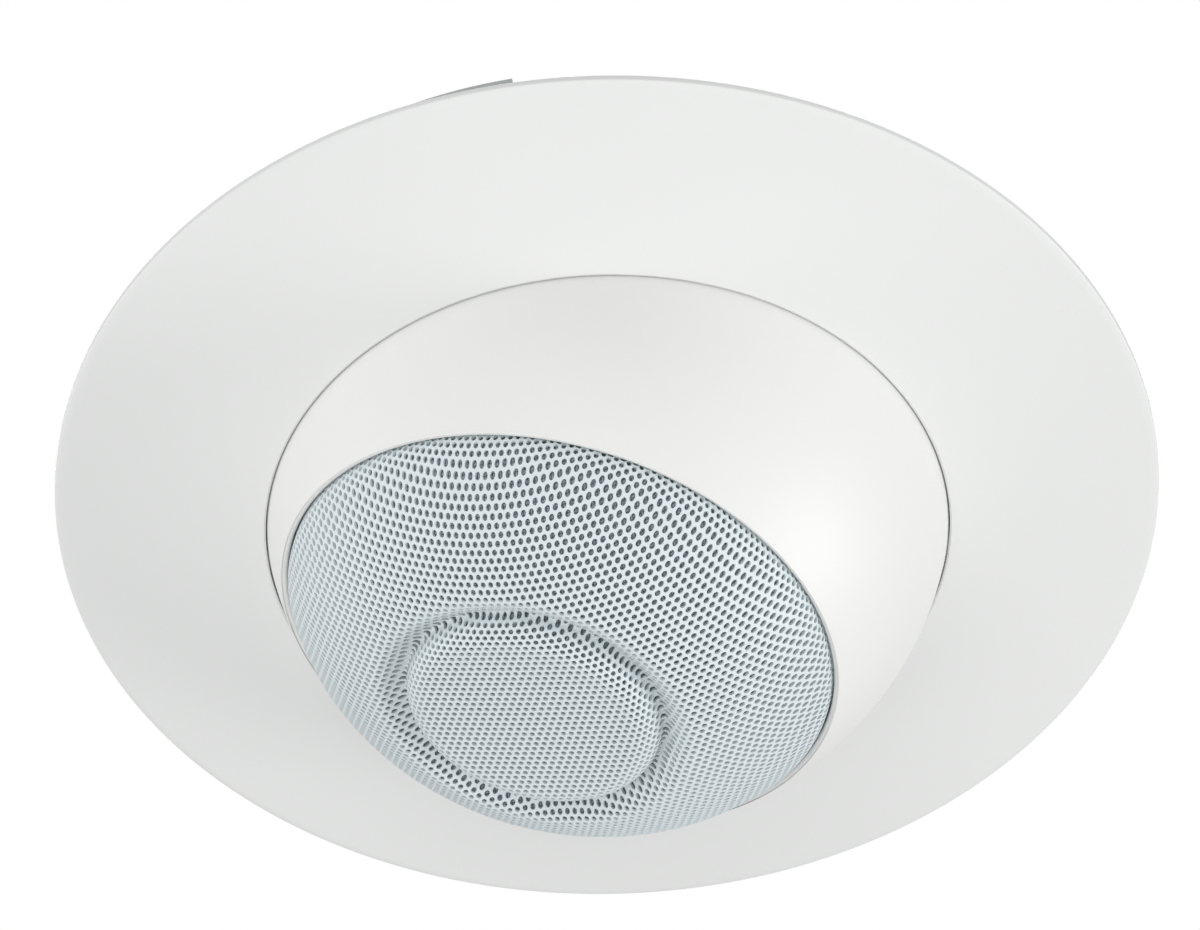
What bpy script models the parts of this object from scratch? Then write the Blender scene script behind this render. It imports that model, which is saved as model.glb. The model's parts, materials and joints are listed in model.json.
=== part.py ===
"""Recessed ceiling loudspeaker with a swivelling eyeball, built as separate working parts.

Frame: metres, +Z up into the ceiling void. The origin is the ball's centre, on the trim's axis,
in the plane of the ceiling's underside. The ball leans towards -X. It pans about Z and tilts about Y.
Ball parts are drawn with their aiming axis along local -Z and hang on the tilted "ball_pivot" empty.
"""
import math

import bmesh
import bpy
from mathutils import Matrix

# Driving dimensions: trim ring
TRIM_RADIUS = 0.1375
TRIM_RIM_HEIGHT = 0.0020
TRIM_HOLE_RADIUS = 0.0850
TRIM_HOLE_Z = -0.0155
TRIM_FLARE = 0.0011
TRIM_WALL = 0.0020
PEG_CIRCLE = 0.1085
PEG_AZIMUTH = math.radians(51.5)

# Driving dimensions: ball, opening and aim
BALL_RADIUS = 0.0860
SHELL_WALL = 0.0030
SEAM_Z = 0.0220
OPENING_RADIUS = 0.0693
LEAN = math.radians(16.3)
THROAT_RADIUS = 0.0694
SHELF_FRONT = 0.0417
SHELF_BACK = 0.0385
SHELF_HOLE = 0.0575

# Driving dimensions: perforated grille
GRILLE_THICKNESS = 0.0010
GRILLE_BULGE = 0.0013
DISC_HEIGHT = 0.0800
DISC_DROP = 0.0008
GROOVE_RADIUS = 0.0343
GROOVE_HEIGHT = 0.0723
DOME_START = 0.0420
SCRIM_GAP = 0.0004
SCRIM_THICKNESS = 0.0005

# Driving dimensions: mounting frame, swivel ring and clamps
FRAME_BORE = 0.1000
FRAME_WALL_RADIUS = 0.1030
FRAME_FLANGE_RADIUS = 0.1240
FRAME_FLANGE_BOTTOM = -0.0026
FRAME_FLANGE_TOP = -0.0012
FRAME_TOP = 0.0300
TOWER_RADIUS = 0.1150
TOWER_TOP = 0.0270
CLAMP_CIRCLE = 0.1085
CLAMP_AZIMUTH = math.radians(6.5)
CLAMP_COUNT = 4
DOG_REACH = 0.0220
DOG_BOTTOM = 0.0160
DOG_TOP = 0.0240
SWIVEL_INNER = 0.0890
SWIVEL_OUTER = 0.0950
RETAINER_SCREWS = 3
PIVOT_RADIUS = 0.0029

# Driving dimensions: loudspeaker drivers and the enclosure behind them
CONE_RADIUS = 0.0505
COIL_RADIUS = 0.0138
MAGNET_RADIUS = 0.0350
DRIVER_SCREW_CIRCLE = 0.0620
ENCLOSURE_SCREW_CIRCLE = 0.0790
TWEETER_RADIUS = 0.0260
DOME_RADIUS = 0.0125
CUP_HALF_LENGTH = 0.0200
CUP_HALF_WIDTH = 0.0150
CUP_WALL = 0.0015
CUP_FLOOR = 0.0470
BACK_Z = 0.0615

CLEARANCE = 0.0003
RING_STEPS = 40
TRIM_STEPS = 48


# ---------------------------------------------------------------- materials

def make_material(name, colour, roughness, metallic=0.0):
    """A plain Principled material."""
    material = bpy.data.materials.new(name)
    material.use_nodes = True
    shader = material.node_tree.nodes["Principled BSDF"]
    shader.inputs["Base Color"].default_value = (*colour, 1.0)
    shader.inputs["Roughness"].default_value = roughness
    shader.inputs["Metallic"].default_value = metallic
    return material


# ---------------------------------------------------------------- drawing helpers

def rounded(corners, steps=3):
    """Points along a path of (x, y, radius) corners, each corner turned into an arc."""
    points = []
    for index, (x, y, radius) in enumerate(corners):
        if radius == 0 or index in (0, len(corners) - 1):
            points.append((x, y))
            continue
        before = corners[index - 1]
        after = corners[index + 1]
        back = math.atan2(before[1] - y, before[0] - x)
        ahead = math.atan2(after[1] - y, after[0] - x)
        spread = (ahead - back + math.pi) % (2 * math.pi) - math.pi
        reach = radius / math.tan(abs(spread) / 2)
        middle = back + spread / 2
        away = radius / math.sin(abs(spread) / 2)
        centre = (x + away * math.cos(middle), y + away * math.sin(middle))
        start = (x + reach * math.cos(back), y + reach * math.sin(back))
        first = math.atan2(start[1] - centre[1], start[0] - centre[0])
        sweep = math.copysign(math.pi - abs(spread), -spread)
        for step in range(steps + 1):
            angle = first + sweep * step / steps
            points.append((centre[0] + radius * math.cos(angle), centre[1] + radius * math.sin(angle)))
    return points


def arc(radius, start_z, end_z, steps):
    """Points on a sphere's outline, (distance from axis, height), between two heights."""
    first = math.asin(start_z / radius)
    last = math.asin(end_z / radius)
    angles = [first + (last - first) * step / steps for step in range(steps + 1)]
    return [(radius * math.cos(angle), radius * math.sin(angle)) for angle in angles]


def offset(path, distance):
    """The path moved sideways, to the right of its direction, by a distance."""
    moved = []
    for index, (x, y) in enumerate(path):
        ahead = path[min(index + 1, len(path) - 1)]
        behind = path[max(index - 1, 0)]
        length = math.dist(ahead, behind)
        along = ((ahead[0] - behind[0]) / length, (ahead[1] - behind[1]) / length)
        moved.append((max(x + along[1] * distance, 0.0), y - along[0] * distance))
    return moved


def flipped(profile):
    """The same outline with heights measured towards the room, along local -Z."""
    return [(radius, -height) for radius, height in profile]


def turned(profile, steps=RING_STEPS):
    """A bmesh turned about Z from a closed (radius, height) outline."""
    bm = bmesh.new()
    verts = [bm.verts.new((radius, 0.0, height)) for radius, height in profile]
    pairs = [(verts[i - 1], verts[i]) for i in range(len(verts))]
    edges = [bm.edges.new(pair) for pair in pairs if max(pair[0].co.x, pair[1].co.x) > 0]
    bmesh.ops.spin(bm, geom=verts + edges, axis=(0, 0, 1), cent=(0, 0, 0),
                   angle=2 * math.pi, steps=steps, use_merge=True)
    bmesh.ops.remove_doubles(bm, verts=bm.verts, dist=1e-6)
    return bm


def extruded(outline, bottom, top):
    """A bmesh prism from a closed (x, y) outline."""
    bm = bmesh.new()
    face = bm.faces.new([bm.verts.new((x, y, bottom)) for x, y in outline])
    lifted = bmesh.ops.extrude_face_region(bm, geom=[face])
    moved = [item for item in lifted["geom"] if isinstance(item, bmesh.types.BMVert)]
    bmesh.ops.translate(bm, verts=moved, vec=(0, 0, top - bottom))
    return bm


def box(low, high):
    """A bmesh block between two corners."""
    outline = [(low[0], low[1]), (high[0], low[1]), (high[0], high[1]), (low[0], high[1])]
    return extruded(outline, low[2], high[2])


def sector(inner, outer, first, last, bottom, top, steps=5):
    """A bmesh slab between two radii and two azimuths."""
    angles = [first + (last - first) * step / steps for step in range(steps + 1)]
    outline = [(outer * math.cos(a), outer * math.sin(a)) for a in angles]
    outline += [(inner * math.cos(a), inner * math.sin(a)) for a in reversed(angles)]
    return extruded(outline, bottom, top)


def rod(radius, bottom, top, x=0.0, y=0.0, steps=12):
    """A bmesh cylinder along Z."""
    turn = 2 * math.pi / steps
    outline = [(x + radius * math.cos(turn * i), y + radius * math.sin(turn * i)) for i in range(steps)]
    return extruded(outline, bottom, top)


def joined(pieces):
    """Several bmeshes in one, for a cutter or for lugs that a union fuses on."""
    whole = bmesh.new()
    for piece in pieces:
        bmesh.ops.recalc_face_normals(piece, faces=piece.faces)
        mesh = bpy.data.meshes.new("piece")
        piece.to_mesh(mesh)
        piece.free()
        whole.from_mesh(mesh)
        bpy.data.meshes.remove(mesh)
    return whole


def place(name, bm, material, parent=None, location=(0, 0, 0), rotation=(0, 0, 0)):
    """Turn a bmesh into a named, smooth-shaded object."""
    bmesh.ops.recalc_face_normals(bm, faces=bm.faces)
    mesh = bpy.data.meshes.new(name)
    bm.to_mesh(mesh)
    bm.free()
    mesh.materials.append(material)
    mesh.shade_smooth()
    mesh.set_sharp_from_angle(angle=math.radians(35))
    item = bpy.data.objects.new(name, mesh)
    item.location = location
    item.rotation_euler = rotation
    item.parent = parent
    bpy.context.collection.objects.link(item)
    return item


def combine(item, bm, operation):
    """Cut a bmesh from an object, or fuse it on, with a live Boolean modifier."""
    tool = place(f"{item.name}_{operation.lower()}_{len(item.modifiers)}", bm, item.active_material,
                 parent=item.parent)
    tool.hide_render = True
    tool.display_type = "WIRE"
    modifier = item.modifiers.new(operation.lower(), "BOOLEAN")
    modifier.operation = operation
    modifier.object = tool


def empty(name, location=(0, 0, 0), rotation=(0, 0, 0)):
    """A joint axis that moving pieces hang on."""
    item = bpy.data.objects.new(name, None)
    item.location = location
    item.rotation_euler = rotation
    bpy.context.collection.objects.link(item)
    return item


def around(radius, azimuth):
    """The (x, y) point at a radius and azimuth."""
    return radius * math.cos(azimuth), radius * math.sin(azimuth)


def azimuths(count, first=0.0):
    """Evenly spaced azimuths."""
    return [first + 2 * math.pi * index / count for index in range(count)]


def screw_shape(head_radius, head_height, shank_radius, length):
    """A pan-head screw: head above z=0, shank below."""
    profile = [(0, head_height), (head_radius * 0.8, head_height), (head_radius, head_height * 0.4),
               (head_radius, 0), (shank_radius, 0), (shank_radius, -length), (0, -length)]
    return turned(profile, steps=8)


# ---------------------------------------------------------------- trim ring and mounting frame

def trim_front(radius):
    """Height of the trim's visible face: a shallow cone, slightly hollow like a flare."""
    share = (TRIM_RADIUS - radius) / (TRIM_RADIUS - TRIM_HOLE_RADIUS)
    drop = (-TRIM_HOLE_Z - TRIM_RIM_HEIGHT) * share
    return -TRIM_RIM_HEIGHT - drop + TRIM_FLARE * math.sin(math.pi * share)


def make_trim_ring(material):
    """The wide bezel, with four push-fit pegs on its back."""
    radii = [TRIM_RADIUS - 0.0003, 0.1270, 0.1160, 0.1060, 0.0960, TRIM_HOLE_RADIUS]
    front = [(radius, trim_front(radius)) for radius in radii]
    back = [(radius, trim_front(radius) + TRIM_WALL * 1.05) for radius in (0.0880, 0.1060, 0.1200)]
    lip = [(TRIM_HOLE_RADIUS + 0.0006, TRIM_HOLE_Z + 0.0024)]
    rim = [(0.1300, trim_front(0.1300) + 0.0013), (0.1345, 0), (TRIM_RADIUS, 0),
           (TRIM_RADIUS, -TRIM_RIM_HEIGHT + 0.0003)]
    trim = place("trim_ring", turned(front + lip + back + rim, TRIM_STEPS), material)
    seat = trim_front(PEG_CIRCLE) + TRIM_WALL / 2
    pegs = [rod(0.0019, seat, 0.0040, *around(PEG_CIRCLE, angle)) for angle in azimuths(4, PEG_AZIMUTH)]
    combine(trim, joined(pegs), "UNION")


def make_mounting_frame(material):
    """The ring that the ceiling clamps hold: flange, wall, inner ledge and four clamp towers."""
    profile = [(0.0915, -0.0105), (FRAME_WALL_RADIUS, -0.0075), (FRAME_WALL_RADIUS, FRAME_FLANGE_BOTTOM),
               (FRAME_FLANGE_RADIUS, FRAME_FLANGE_BOTTOM), (FRAME_FLANGE_RADIUS, FRAME_FLANGE_TOP),
               (FRAME_WALL_RADIUS, FRAME_FLANGE_TOP), (FRAME_WALL_RADIUS, FRAME_TOP), (FRAME_BORE, FRAME_TOP),
               (FRAME_BORE, 0.0107), (0.0955, 0.0107), (0.0955, -0.0085), (0.0915, -0.0085)]
    frame = place("mounting_frame", turned(profile), material)
    blocks = []
    pockets = []
    holes = []
    for azimuth in azimuths(CLAMP_COUNT, CLAMP_AZIMUTH):
        first = azimuth - 0.0260 / CLAMP_CIRCLE
        last = azimuth + 0.0080 / CLAMP_CIRCLE
        blocks.append(sector(0.1015, TOWER_RADIUS, first, last, -0.0022, TOWER_TOP))
        wall = 0.0018 / CLAMP_CIRCLE
        pockets.append(sector(0.1036, 0.1200, first + wall, last - wall, -0.0008, 0.0245))
        holes.append(rod(0.0025, -0.0100, 0.0400, *around(CLAMP_CIRCLE, azimuth)))
    for azimuth in azimuths(4, PEG_AZIMUTH):
        holes.append(rod(0.0023, -0.0080, 0.0040, *around(PEG_CIRCLE, azimuth)))
    for azimuth in azimuths(RETAINER_SCREWS, math.radians(30)):
        holes.append(rod(0.0013, 0.0040, 0.0150, *around(0.0977, azimuth), steps=8))
    combine(frame, joined(blocks), "UNION")
    combine(frame, joined(pockets), "DIFFERENCE")
    combine(frame, joined(holes), "DIFFERENCE")


def make_frame_gasket(material):
    """Foam strip that seals the mounting flange to the ceiling."""
    bottom = FRAME_FLANGE_TOP + CLEARANCE
    profile = [(0.1160, bottom), (FRAME_FLANGE_RADIUS, bottom), (FRAME_FLANGE_RADIUS, 0), (0.1160, 0)]
    place("frame_gasket", turned(profile), material)


def make_retaining_ring(material, steel):
    """Flat ring over the swivel ring, and the screws that hold it down."""
    profile = [(0.0900, 0.0110), (0.0997, 0.0110), (0.0997, 0.0128), (0.0900, 0.0128)]
    ring = place("retaining_ring", turned(profile), material)
    places = [around(0.0977, azimuth) for azimuth in azimuths(RETAINER_SCREWS, math.radians(30))]
    combine(ring, joined([rod(0.0013, 0.0100, 0.0140, x, y, steps=8) for x, y in places]), "DIFFERENCE")
    for number, (x, y) in enumerate(places, 1):
        shape = screw_shape(0.0017, 0.0014, 0.0009, 0.0070)
        place(f"retaining_screw_{number}", shape, steel, location=(x, y, 0.0131))


# ---------------------------------------------------------------- ceiling clamps

def make_clamp(number, azimuth, steel, brass, plastic):
    """One clamp: a screw up through the tower, the nut on it and the dog that swings out."""
    x, y = around(CLAMP_CIRCLE, azimuth)
    axis = empty(f"clamp_axis_{number}", location=(x, y, 0), rotation=(0, 0, azimuth))
    screw = screw_shape(0.0034, 0.0014, 0.0020, 0.0300)
    place(f"clamp_screw_{number}", screw, steel, parent=axis,
          location=(0, 0, FRAME_FLANGE_BOTTOM - CLEARANCE), rotation=(math.pi, 0, 0))
    nut = turned([(0.0023, 0.0155), (0.0032, 0.0155), (0.0032, DOG_TOP + 0.0002),
                  (0.0023, DOG_TOP + 0.0002)], steps=12)
    place(f"clamp_nut_{number}", nut, brass, parent=axis)
    half = 0.0040
    outline = rounded([(half, 0, 0), (half, -DOG_REACH, 0.0015), (-half, -DOG_REACH, 0.0015),
                       (-half, 0, 0)], steps=2)
    dog = place(f"clamp_dog_{number}", extruded(outline, 0.0185, DOG_TOP), plastic, parent=axis)
    foot = box((-half + 0.0005, -DOG_REACH + 0.0005, DOG_BOTTOM), (half - 0.0005, -0.0110, 0.0200))
    combine(dog, foot, "UNION")
    combine(dog, rod(0.0046, 0.0180, DOG_TOP - 0.0002), "UNION")
    combine(dog, rod(0.0035, 0.0100, 0.0300), "DIFFERENCE")


# ---------------------------------------------------------------- swivel ring and pivots

def make_swivel_ring(material, nylon):
    """The ring that pans in the frame and carries the ball between two bushes."""
    profile = [(SWIVEL_INNER, -0.0082), (SWIVEL_OUTER, -0.0082), (SWIVEL_OUTER, 0.0107),
               (SWIVEL_INNER, 0.0107)]
    ring = place("swivel_ring", turned(profile), material)
    bore = rod(0.0058, -0.1100, 0.1100, steps=16)
    bmesh.ops.rotate(bore, verts=bore.verts, matrix=Matrix.Rotation(math.pi / 2, 3, "X"))
    combine(ring, bore, "DIFFERENCE")
    bush_profile = [(PIVOT_RADIUS + CLEARANCE, 0.0895), (0.0055, 0.0895), (0.0055, 0.0942),
                    (PIVOT_RADIUS + CLEARANCE, 0.0942)]
    for side, turn in (("left", math.pi / 2), ("right", -math.pi / 2)):
        place(f"pivot_bush_{side}", turned(bush_profile, steps=16), nylon, rotation=(turn, 0, 0))


# ---------------------------------------------------------------- ball shells

def make_front_shell(material, pivot):
    """The painted front of the ball: sphere, rounded lip, throat and driver shelf."""
    edge = OPENING_RADIUS + 0.0012
    edge_height = math.sqrt(BALL_RADIUS ** 2 - edge ** 2)
    outer = arc(BALL_RADIUS, -SEAM_Z, edge_height, 8)
    lip = [(OPENING_RADIUS + 0.0005, edge_height + 0.0003), (THROAT_RADIUS, edge_height - 0.0005)]
    inner_wall = BALL_RADIUS - SHELL_WALL
    throat = [(THROAT_RADIUS, SHELF_FRONT), (SHELF_HOLE, SHELF_FRONT), (SHELF_HOLE, SHELF_BACK)]
    inner = arc(inner_wall, SHELF_BACK, -SEAM_Z + 0.0030, 3)
    flange = [(0.0720, -SEAM_Z + 0.0030), (0.0720, -SEAM_Z)]
    shell = place("front_shell", turned(flipped(outer + lip + throat + inner + flange)), material,
                  parent=pivot)
    pin_hole = rod(PIVOT_RADIUS + CLEARANCE, -0.1000, 0.1000)
    bmesh.ops.rotate(pin_hole, verts=pin_hole.verts, matrix=Matrix.Rotation(math.pi / 2, 3, "X"))
    holes = [pin_hole]
    for azimuth in azimuths(4, math.radians(45)):
        holes.append(rod(0.0018, -0.0440, -0.0360, *around(DRIVER_SCREW_CIRCLE, azimuth), steps=8))
        holes.append(rod(0.0018, 0.0160, 0.0240, *around(ENCLOSURE_SCREW_CIRCLE, azimuth), steps=8))
    combine(shell, joined(holes), "DIFFERENCE")


def make_rear_enclosure(material, pivot):
    """The stepped cup that closes the ball's back, with a flange for its screws."""
    outer = [(0, BACK_Z), (0.0500, BACK_Z), (0.0600, 0.0565), (0.0700, 0.0450), (0.0745, 0.0300),
             (0.0745, 0.0253), (0.0830, 0.0253), (0.0830, SEAM_Z + CLEARANCE)]
    inner = [(0.0720, SEAM_Z + CLEARANCE), (0.0720, 0.0300), (0.0677, 0.0440), (0.0585, 0.0543),
             (0.0490, BACK_Z - 0.0025), (0, BACK_Z - 0.0025)]
    cup = place("rear_enclosure", turned(outer + inner, steps=32), material, parent=pivot)
    holes = [box((-CUP_HALF_LENGTH - 0.0018, -CUP_HALF_WIDTH - 0.0018, 0.0400),
                 (CUP_HALF_LENGTH + 0.0018, CUP_HALF_WIDTH + 0.0018, 0.0700))]
    for azimuth in azimuths(4, math.radians(45)):
        holes.append(rod(0.0019, 0.0210, 0.0300, *around(ENCLOSURE_SCREW_CIRCLE, azimuth), steps=8))
    combine(cup, joined(holes), "DIFFERENCE")


def make_pivot_pins(steel, pivot):
    """Headed pins through the shell, on the tilt axis."""
    profile = [(0, 0.0795), (0.0058, 0.0795), (0.0058, 0.0820), (PIVOT_RADIUS, 0.0820),
               (PIVOT_RADIUS, 0.0943), (0, 0.0943)]
    for side, turn in (("left", math.pi / 2), ("right", -math.pi / 2)):
        place(f"pivot_pin_{side}", turned(profile, steps=16), steel, parent=pivot, rotation=(turn, 0, 0))


def make_assembly_screws(steel, pivot):
    """Screws that hold the driver on its shelf and the enclosure on the shell."""
    for number, azimuth in enumerate(azimuths(4, math.radians(45)), 1):
        x, y = around(DRIVER_SCREW_CIRCLE, azimuth)
        place(f"driver_screw_{number}", screw_shape(0.0030, 0.0016, 0.0014, 0.0080), steel,
              parent=pivot, location=(x, y, -0.0448), rotation=(math.pi, 0, 0))
        x, y = around(ENCLOSURE_SCREW_CIRCLE, azimuth)
        place(f"enclosure_screw_{number}", screw_shape(0.0028, 0.0016, 0.0014, 0.0090), steel,
              parent=pivot, location=(x, y, 0.0256))


# ---------------------------------------------------------------- grille

def grille_path():
    """Outline of the grille's face, from its centre out: disc, V groove, dome and turned skirt."""
    centre = [(0.0, DISC_HEIGHT, 0), (GROOVE_RADIUS - 0.0010, DISC_HEIGHT - DISC_DROP, 0.0065),
              (GROOVE_RADIUS, GROOVE_HEIGHT, 0.00015), (GROOVE_RADIUS + 0.0015, 0.0789, 0.0045),
              (DOME_START, dome_height(DOME_START), 0)]
    path = rounded(centre, steps=2)
    edge = OPENING_RADIUS - 0.0010
    path += [(radius, dome_height(radius)) for radius in (0.0490, 0.0560, 0.0630, edge)]
    side = OPENING_RADIUS - 0.0003
    path += [(side, dome_height(side) - 0.0006), (side, 0.0426)]
    return path


def dome_height(radius):
    """Height of the grille's dome, which bulges a little past the ball."""
    share = (radius - 0.0380) / (OPENING_RADIUS - 0.0380)
    return math.sqrt(BALL_RADIUS ** 2 - radius ** 2) + GRILLE_BULGE * math.sin(math.pi * share)


def make_grille(metal, cloth, pivot):
    """The grille and the scrim cloth behind it."""
    face = grille_path()
    back = offset(face, GRILLE_THICKNESS)
    place("grille", turned(flipped(face + back[::-1]), steps=28), metal, parent=pivot)
    inside = face[:-2]
    near = offset(inside, GRILLE_THICKNESS + SCRIM_GAP)
    far = offset(inside, GRILLE_THICKNESS + SCRIM_GAP + SCRIM_THICKNESS)
    place("grille_scrim", turned(flipped(near + far[::-1]), steps=24), cloth, parent=pivot)


# ---------------------------------------------------------------- woofer

def make_basket(material, pivot):
    """The driver's cast frame, with four windows behind the cone."""
    profile = [(0.0665, 0.0445), (0.0552, 0.0445), (0.0530, 0.0370), (0.0362, 0.0106), (0.0160, 0.0106),
               (0.0160, 0.0086), (0.0378, 0.0086), (0.0553, 0.0362), (0.0568, 0.0420), (0.0665, 0.0420)]
    basket = place("woofer_basket", turned(flipped(profile), steps=28), material, parent=pivot)
    cuts = []
    for azimuth in azimuths(4, math.radians(45)):
        half = math.radians(30)
        cuts.append(sector(0.0300, 0.0600, azimuth - half, azimuth + half, -0.0340, -0.0150, steps=2))
        cuts.append(rod(0.0018, -0.0480, -0.0400, *around(DRIVER_SCREW_CIRCLE, azimuth), steps=8))
    combine(basket, joined(cuts), "DIFFERENCE")


def make_motor(iron, steel, pivot):
    """Top plate, ring magnet, and back plate with its pole."""
    top = [(0.0146, 0.0023), (0.0340, 0.0023), (0.0340, 0.0083), (0.0146, 0.0083)]
    place("woofer_top_plate", turned(flipped(top), steps=20), steel, parent=pivot)
    ring = [(0.0180, -0.0140), (MAGNET_RADIUS, -0.0140), (MAGNET_RADIUS, 0.0020), (0.0180, 0.0020)]
    place("woofer_magnet", turned(flipped(ring), steps=20), iron, parent=pivot)
    plate = [(0, 0.0083), (0.0122, 0.0083), (0.0122, -0.0143), (MAGNET_RADIUS, -0.0143),
             (MAGNET_RADIUS, -0.0195), (0.0100, -0.0195), (0.0100, -0.0215), (0, -0.0215)]
    place("woofer_back_plate", turned(flipped(plate), steps=20), steel, parent=pivot)


def make_cone(paper, rubber, copper, cloth, pivot):
    """Cone, voice coil, surround and spider."""
    cone = [(CONE_RADIUS, 0.0412), (0.0340, 0.0300), (0.0142, 0.0190), (0.0142, 0.0178),
            (0.0340, 0.0288), (CONE_RADIUS, 0.0402)]
    place("woofer_cone", turned(flipped(cone), steps=28), paper, parent=pivot)
    coil = [(0.0131, -0.0040), (COIL_RADIUS, -0.0040), (COIL_RADIUS, 0.0200), (0.0131, 0.0200)]
    place("voice_coil", turned(flipped(coil), steps=20), copper, parent=pivot)
    roll = rounded([(0.0585, 0.0448, 0), (0.0560, 0.0448, 0), (0.0562, 0.0492, 0.0022),
                    (0.0513, 0.0492, 0.0022), (0.0511, 0.0416, 0), (0.0485, 0.0409, 0)], steps=1)
    surround = offset(roll, 0.0006) + roll[::-1]
    place("woofer_surround", turned(flipped(surround), steps=24), rubber, parent=pivot)
    waves = [(0.0340, 0.0112), (0.0305, 0.0112), (0.0270, 0.0138), (0.0230, 0.0120),
             (0.0190, 0.0138), (0.0142, 0.0134)]
    spider = [(r, h + 0.0003) for r, h in waves] + [(r, h - 0.0003) for r, h in waves[::-1]]
    place("woofer_spider", turned(flipped(spider), steps=20), cloth, parent=pivot)


# ---------------------------------------------------------------- tweeter

def make_tweeter(plastic, metal, silk, iron, pivot):
    """The tweeter held in front of the cone on a post: post, housing, magnet, faceplate and dome."""
    post = [(0, 0.0086), (0.0100, 0.0086), (0.0100, 0.0105), (0.0050, 0.0120), (0.0050, 0.0517),
            (0, 0.0517)]
    place("tweeter_post", turned(flipped(post), steps=16), metal, parent=pivot)
    housing = [(0, 0.0520), (0.0200, 0.0520), (TWEETER_RADIUS, 0.0560), (TWEETER_RADIUS, 0.0660),
               (0.0240, 0.0660), (0.0240, 0.0570), (0.0190, 0.0540), (0, 0.0540)]
    place("tweeter_housing", turned(flipped(housing), steps=24), plastic, parent=pivot)
    magnet = [(0, 0.0543), (0.0160, 0.0543), (0.0160, 0.0625), (0, 0.0625)]
    place("tweeter_magnet", turned(flipped(magnet), steps=20), iron, parent=pivot)
    plate = [(DOME_RADIUS + 0.0006, 0.0663), (TWEETER_RADIUS + 0.0010, 0.0663),
             (TWEETER_RADIUS + 0.0010, 0.0675), (0.0200, 0.0690), (DOME_RADIUS + 0.0006, 0.0680)]
    place("tweeter_faceplate", turned(flipped(plate), steps=24), plastic, parent=pivot)
    sphere = 0.0170
    sink = 0.0715 - sphere
    rise = math.sqrt(sphere ** 2 - DOME_RADIUS ** 2)
    cap = [(r, z + sink) for r, z in arc(sphere, rise, sphere, 3)]
    lining = [(r * 0.95, z - 0.0006) for r, z in reversed(cap)]
    place("tweeter_dome", turned(flipped(cap + lining), steps=16), silk, parent=pivot)


# ---------------------------------------------------------------- inside the enclosure

def make_crossover(board, copper, plastic, ceramic, pivot):
    """The crossover board on the magnet's back, and the parts on it."""
    top = 0.0236
    place("crossover_board", box((-0.0320, -0.0230, 0.0220), (0.0320, 0.0230, top)), board, parent=pivot)
    base = top + CLEARANCE
    coil = [(0.0050, base), (0.0130, base), (0.0130, base + 0.0130), (0.0050, base + 0.0130)]
    place("crossover_inductor", turned(coil, steps=20), copper, parent=pivot, location=(-0.0170, 0, 0))
    for number, y in enumerate((-0.0130, 0.0020), 1):
        can = rod(0.0055, -0.0125, 0.0125, steps=14)
        place(f"crossover_capacitor_{number}", can, plastic, parent=pivot,
              location=(0.0160, y, base + 0.0056), rotation=(0, math.pi / 2, 0))
    resistor = box((0.0050, 0.0115, base), (0.0270, 0.0190, base + 0.0070))
    place("crossover_resistor", resistor, ceramic, parent=pivot)


def make_wadding(cloth, pivot):
    """Ring of damping wadding round the magnet."""
    profile = [(0.0460, -0.0160), (0.0710, -0.0160), (0.0730, -0.0050), (0.0710, 0.0060), (0.0460, 0.0060)]
    place("damping_wadding", turned(flipped(profile), steps=20), cloth, parent=pivot)


def make_terminals(plastic, red, black, pivot):
    """The terminal cup in the enclosure's back and its two push tabs."""
    length = CUP_HALF_LENGTH
    width = CUP_HALF_WIDTH
    outside = box((-length - CUP_WALL, -width - CUP_WALL, CUP_FLOOR),
                  (length + CUP_WALL, width + CUP_WALL, BACK_Z + 0.0010))
    cup = place("terminal_cup", outside, plastic, parent=pivot)
    flange = box((-length - 0.0040, -width - 0.0040, BACK_Z + CLEARANCE),
                 (length + 0.0040, width + 0.0040, BACK_Z + 0.0018))
    combine(cup, flange, "UNION")
    combine(cup, box((-length, -width, CUP_FLOOR + CUP_WALL), (length, width, 0.0700)), "DIFFERENCE")
    for name, x, colour in (("terminal_tab_red", -0.0100, red), ("terminal_tab_black", 0.0100, black)):
        outline = rounded([(-0.0045, 0, 0), (-0.0045, -0.0110, 0.0015), (0.0045, -0.0110, 0.0015),
                           (0.0045, 0, 0)], steps=2)
        tab = extruded(outline, 0, 0.0080)
        place(name, tab, colour, parent=pivot, location=(x, 0.0120, CUP_FLOOR + CUP_WALL + 0.0033))


# ---------------------------------------------------------------- assembly

def clear_scene():
    """Remove what the file opened with."""
    for item in list(bpy.data.objects):
        bpy.data.objects.remove(item, do_unlink=True)


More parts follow.
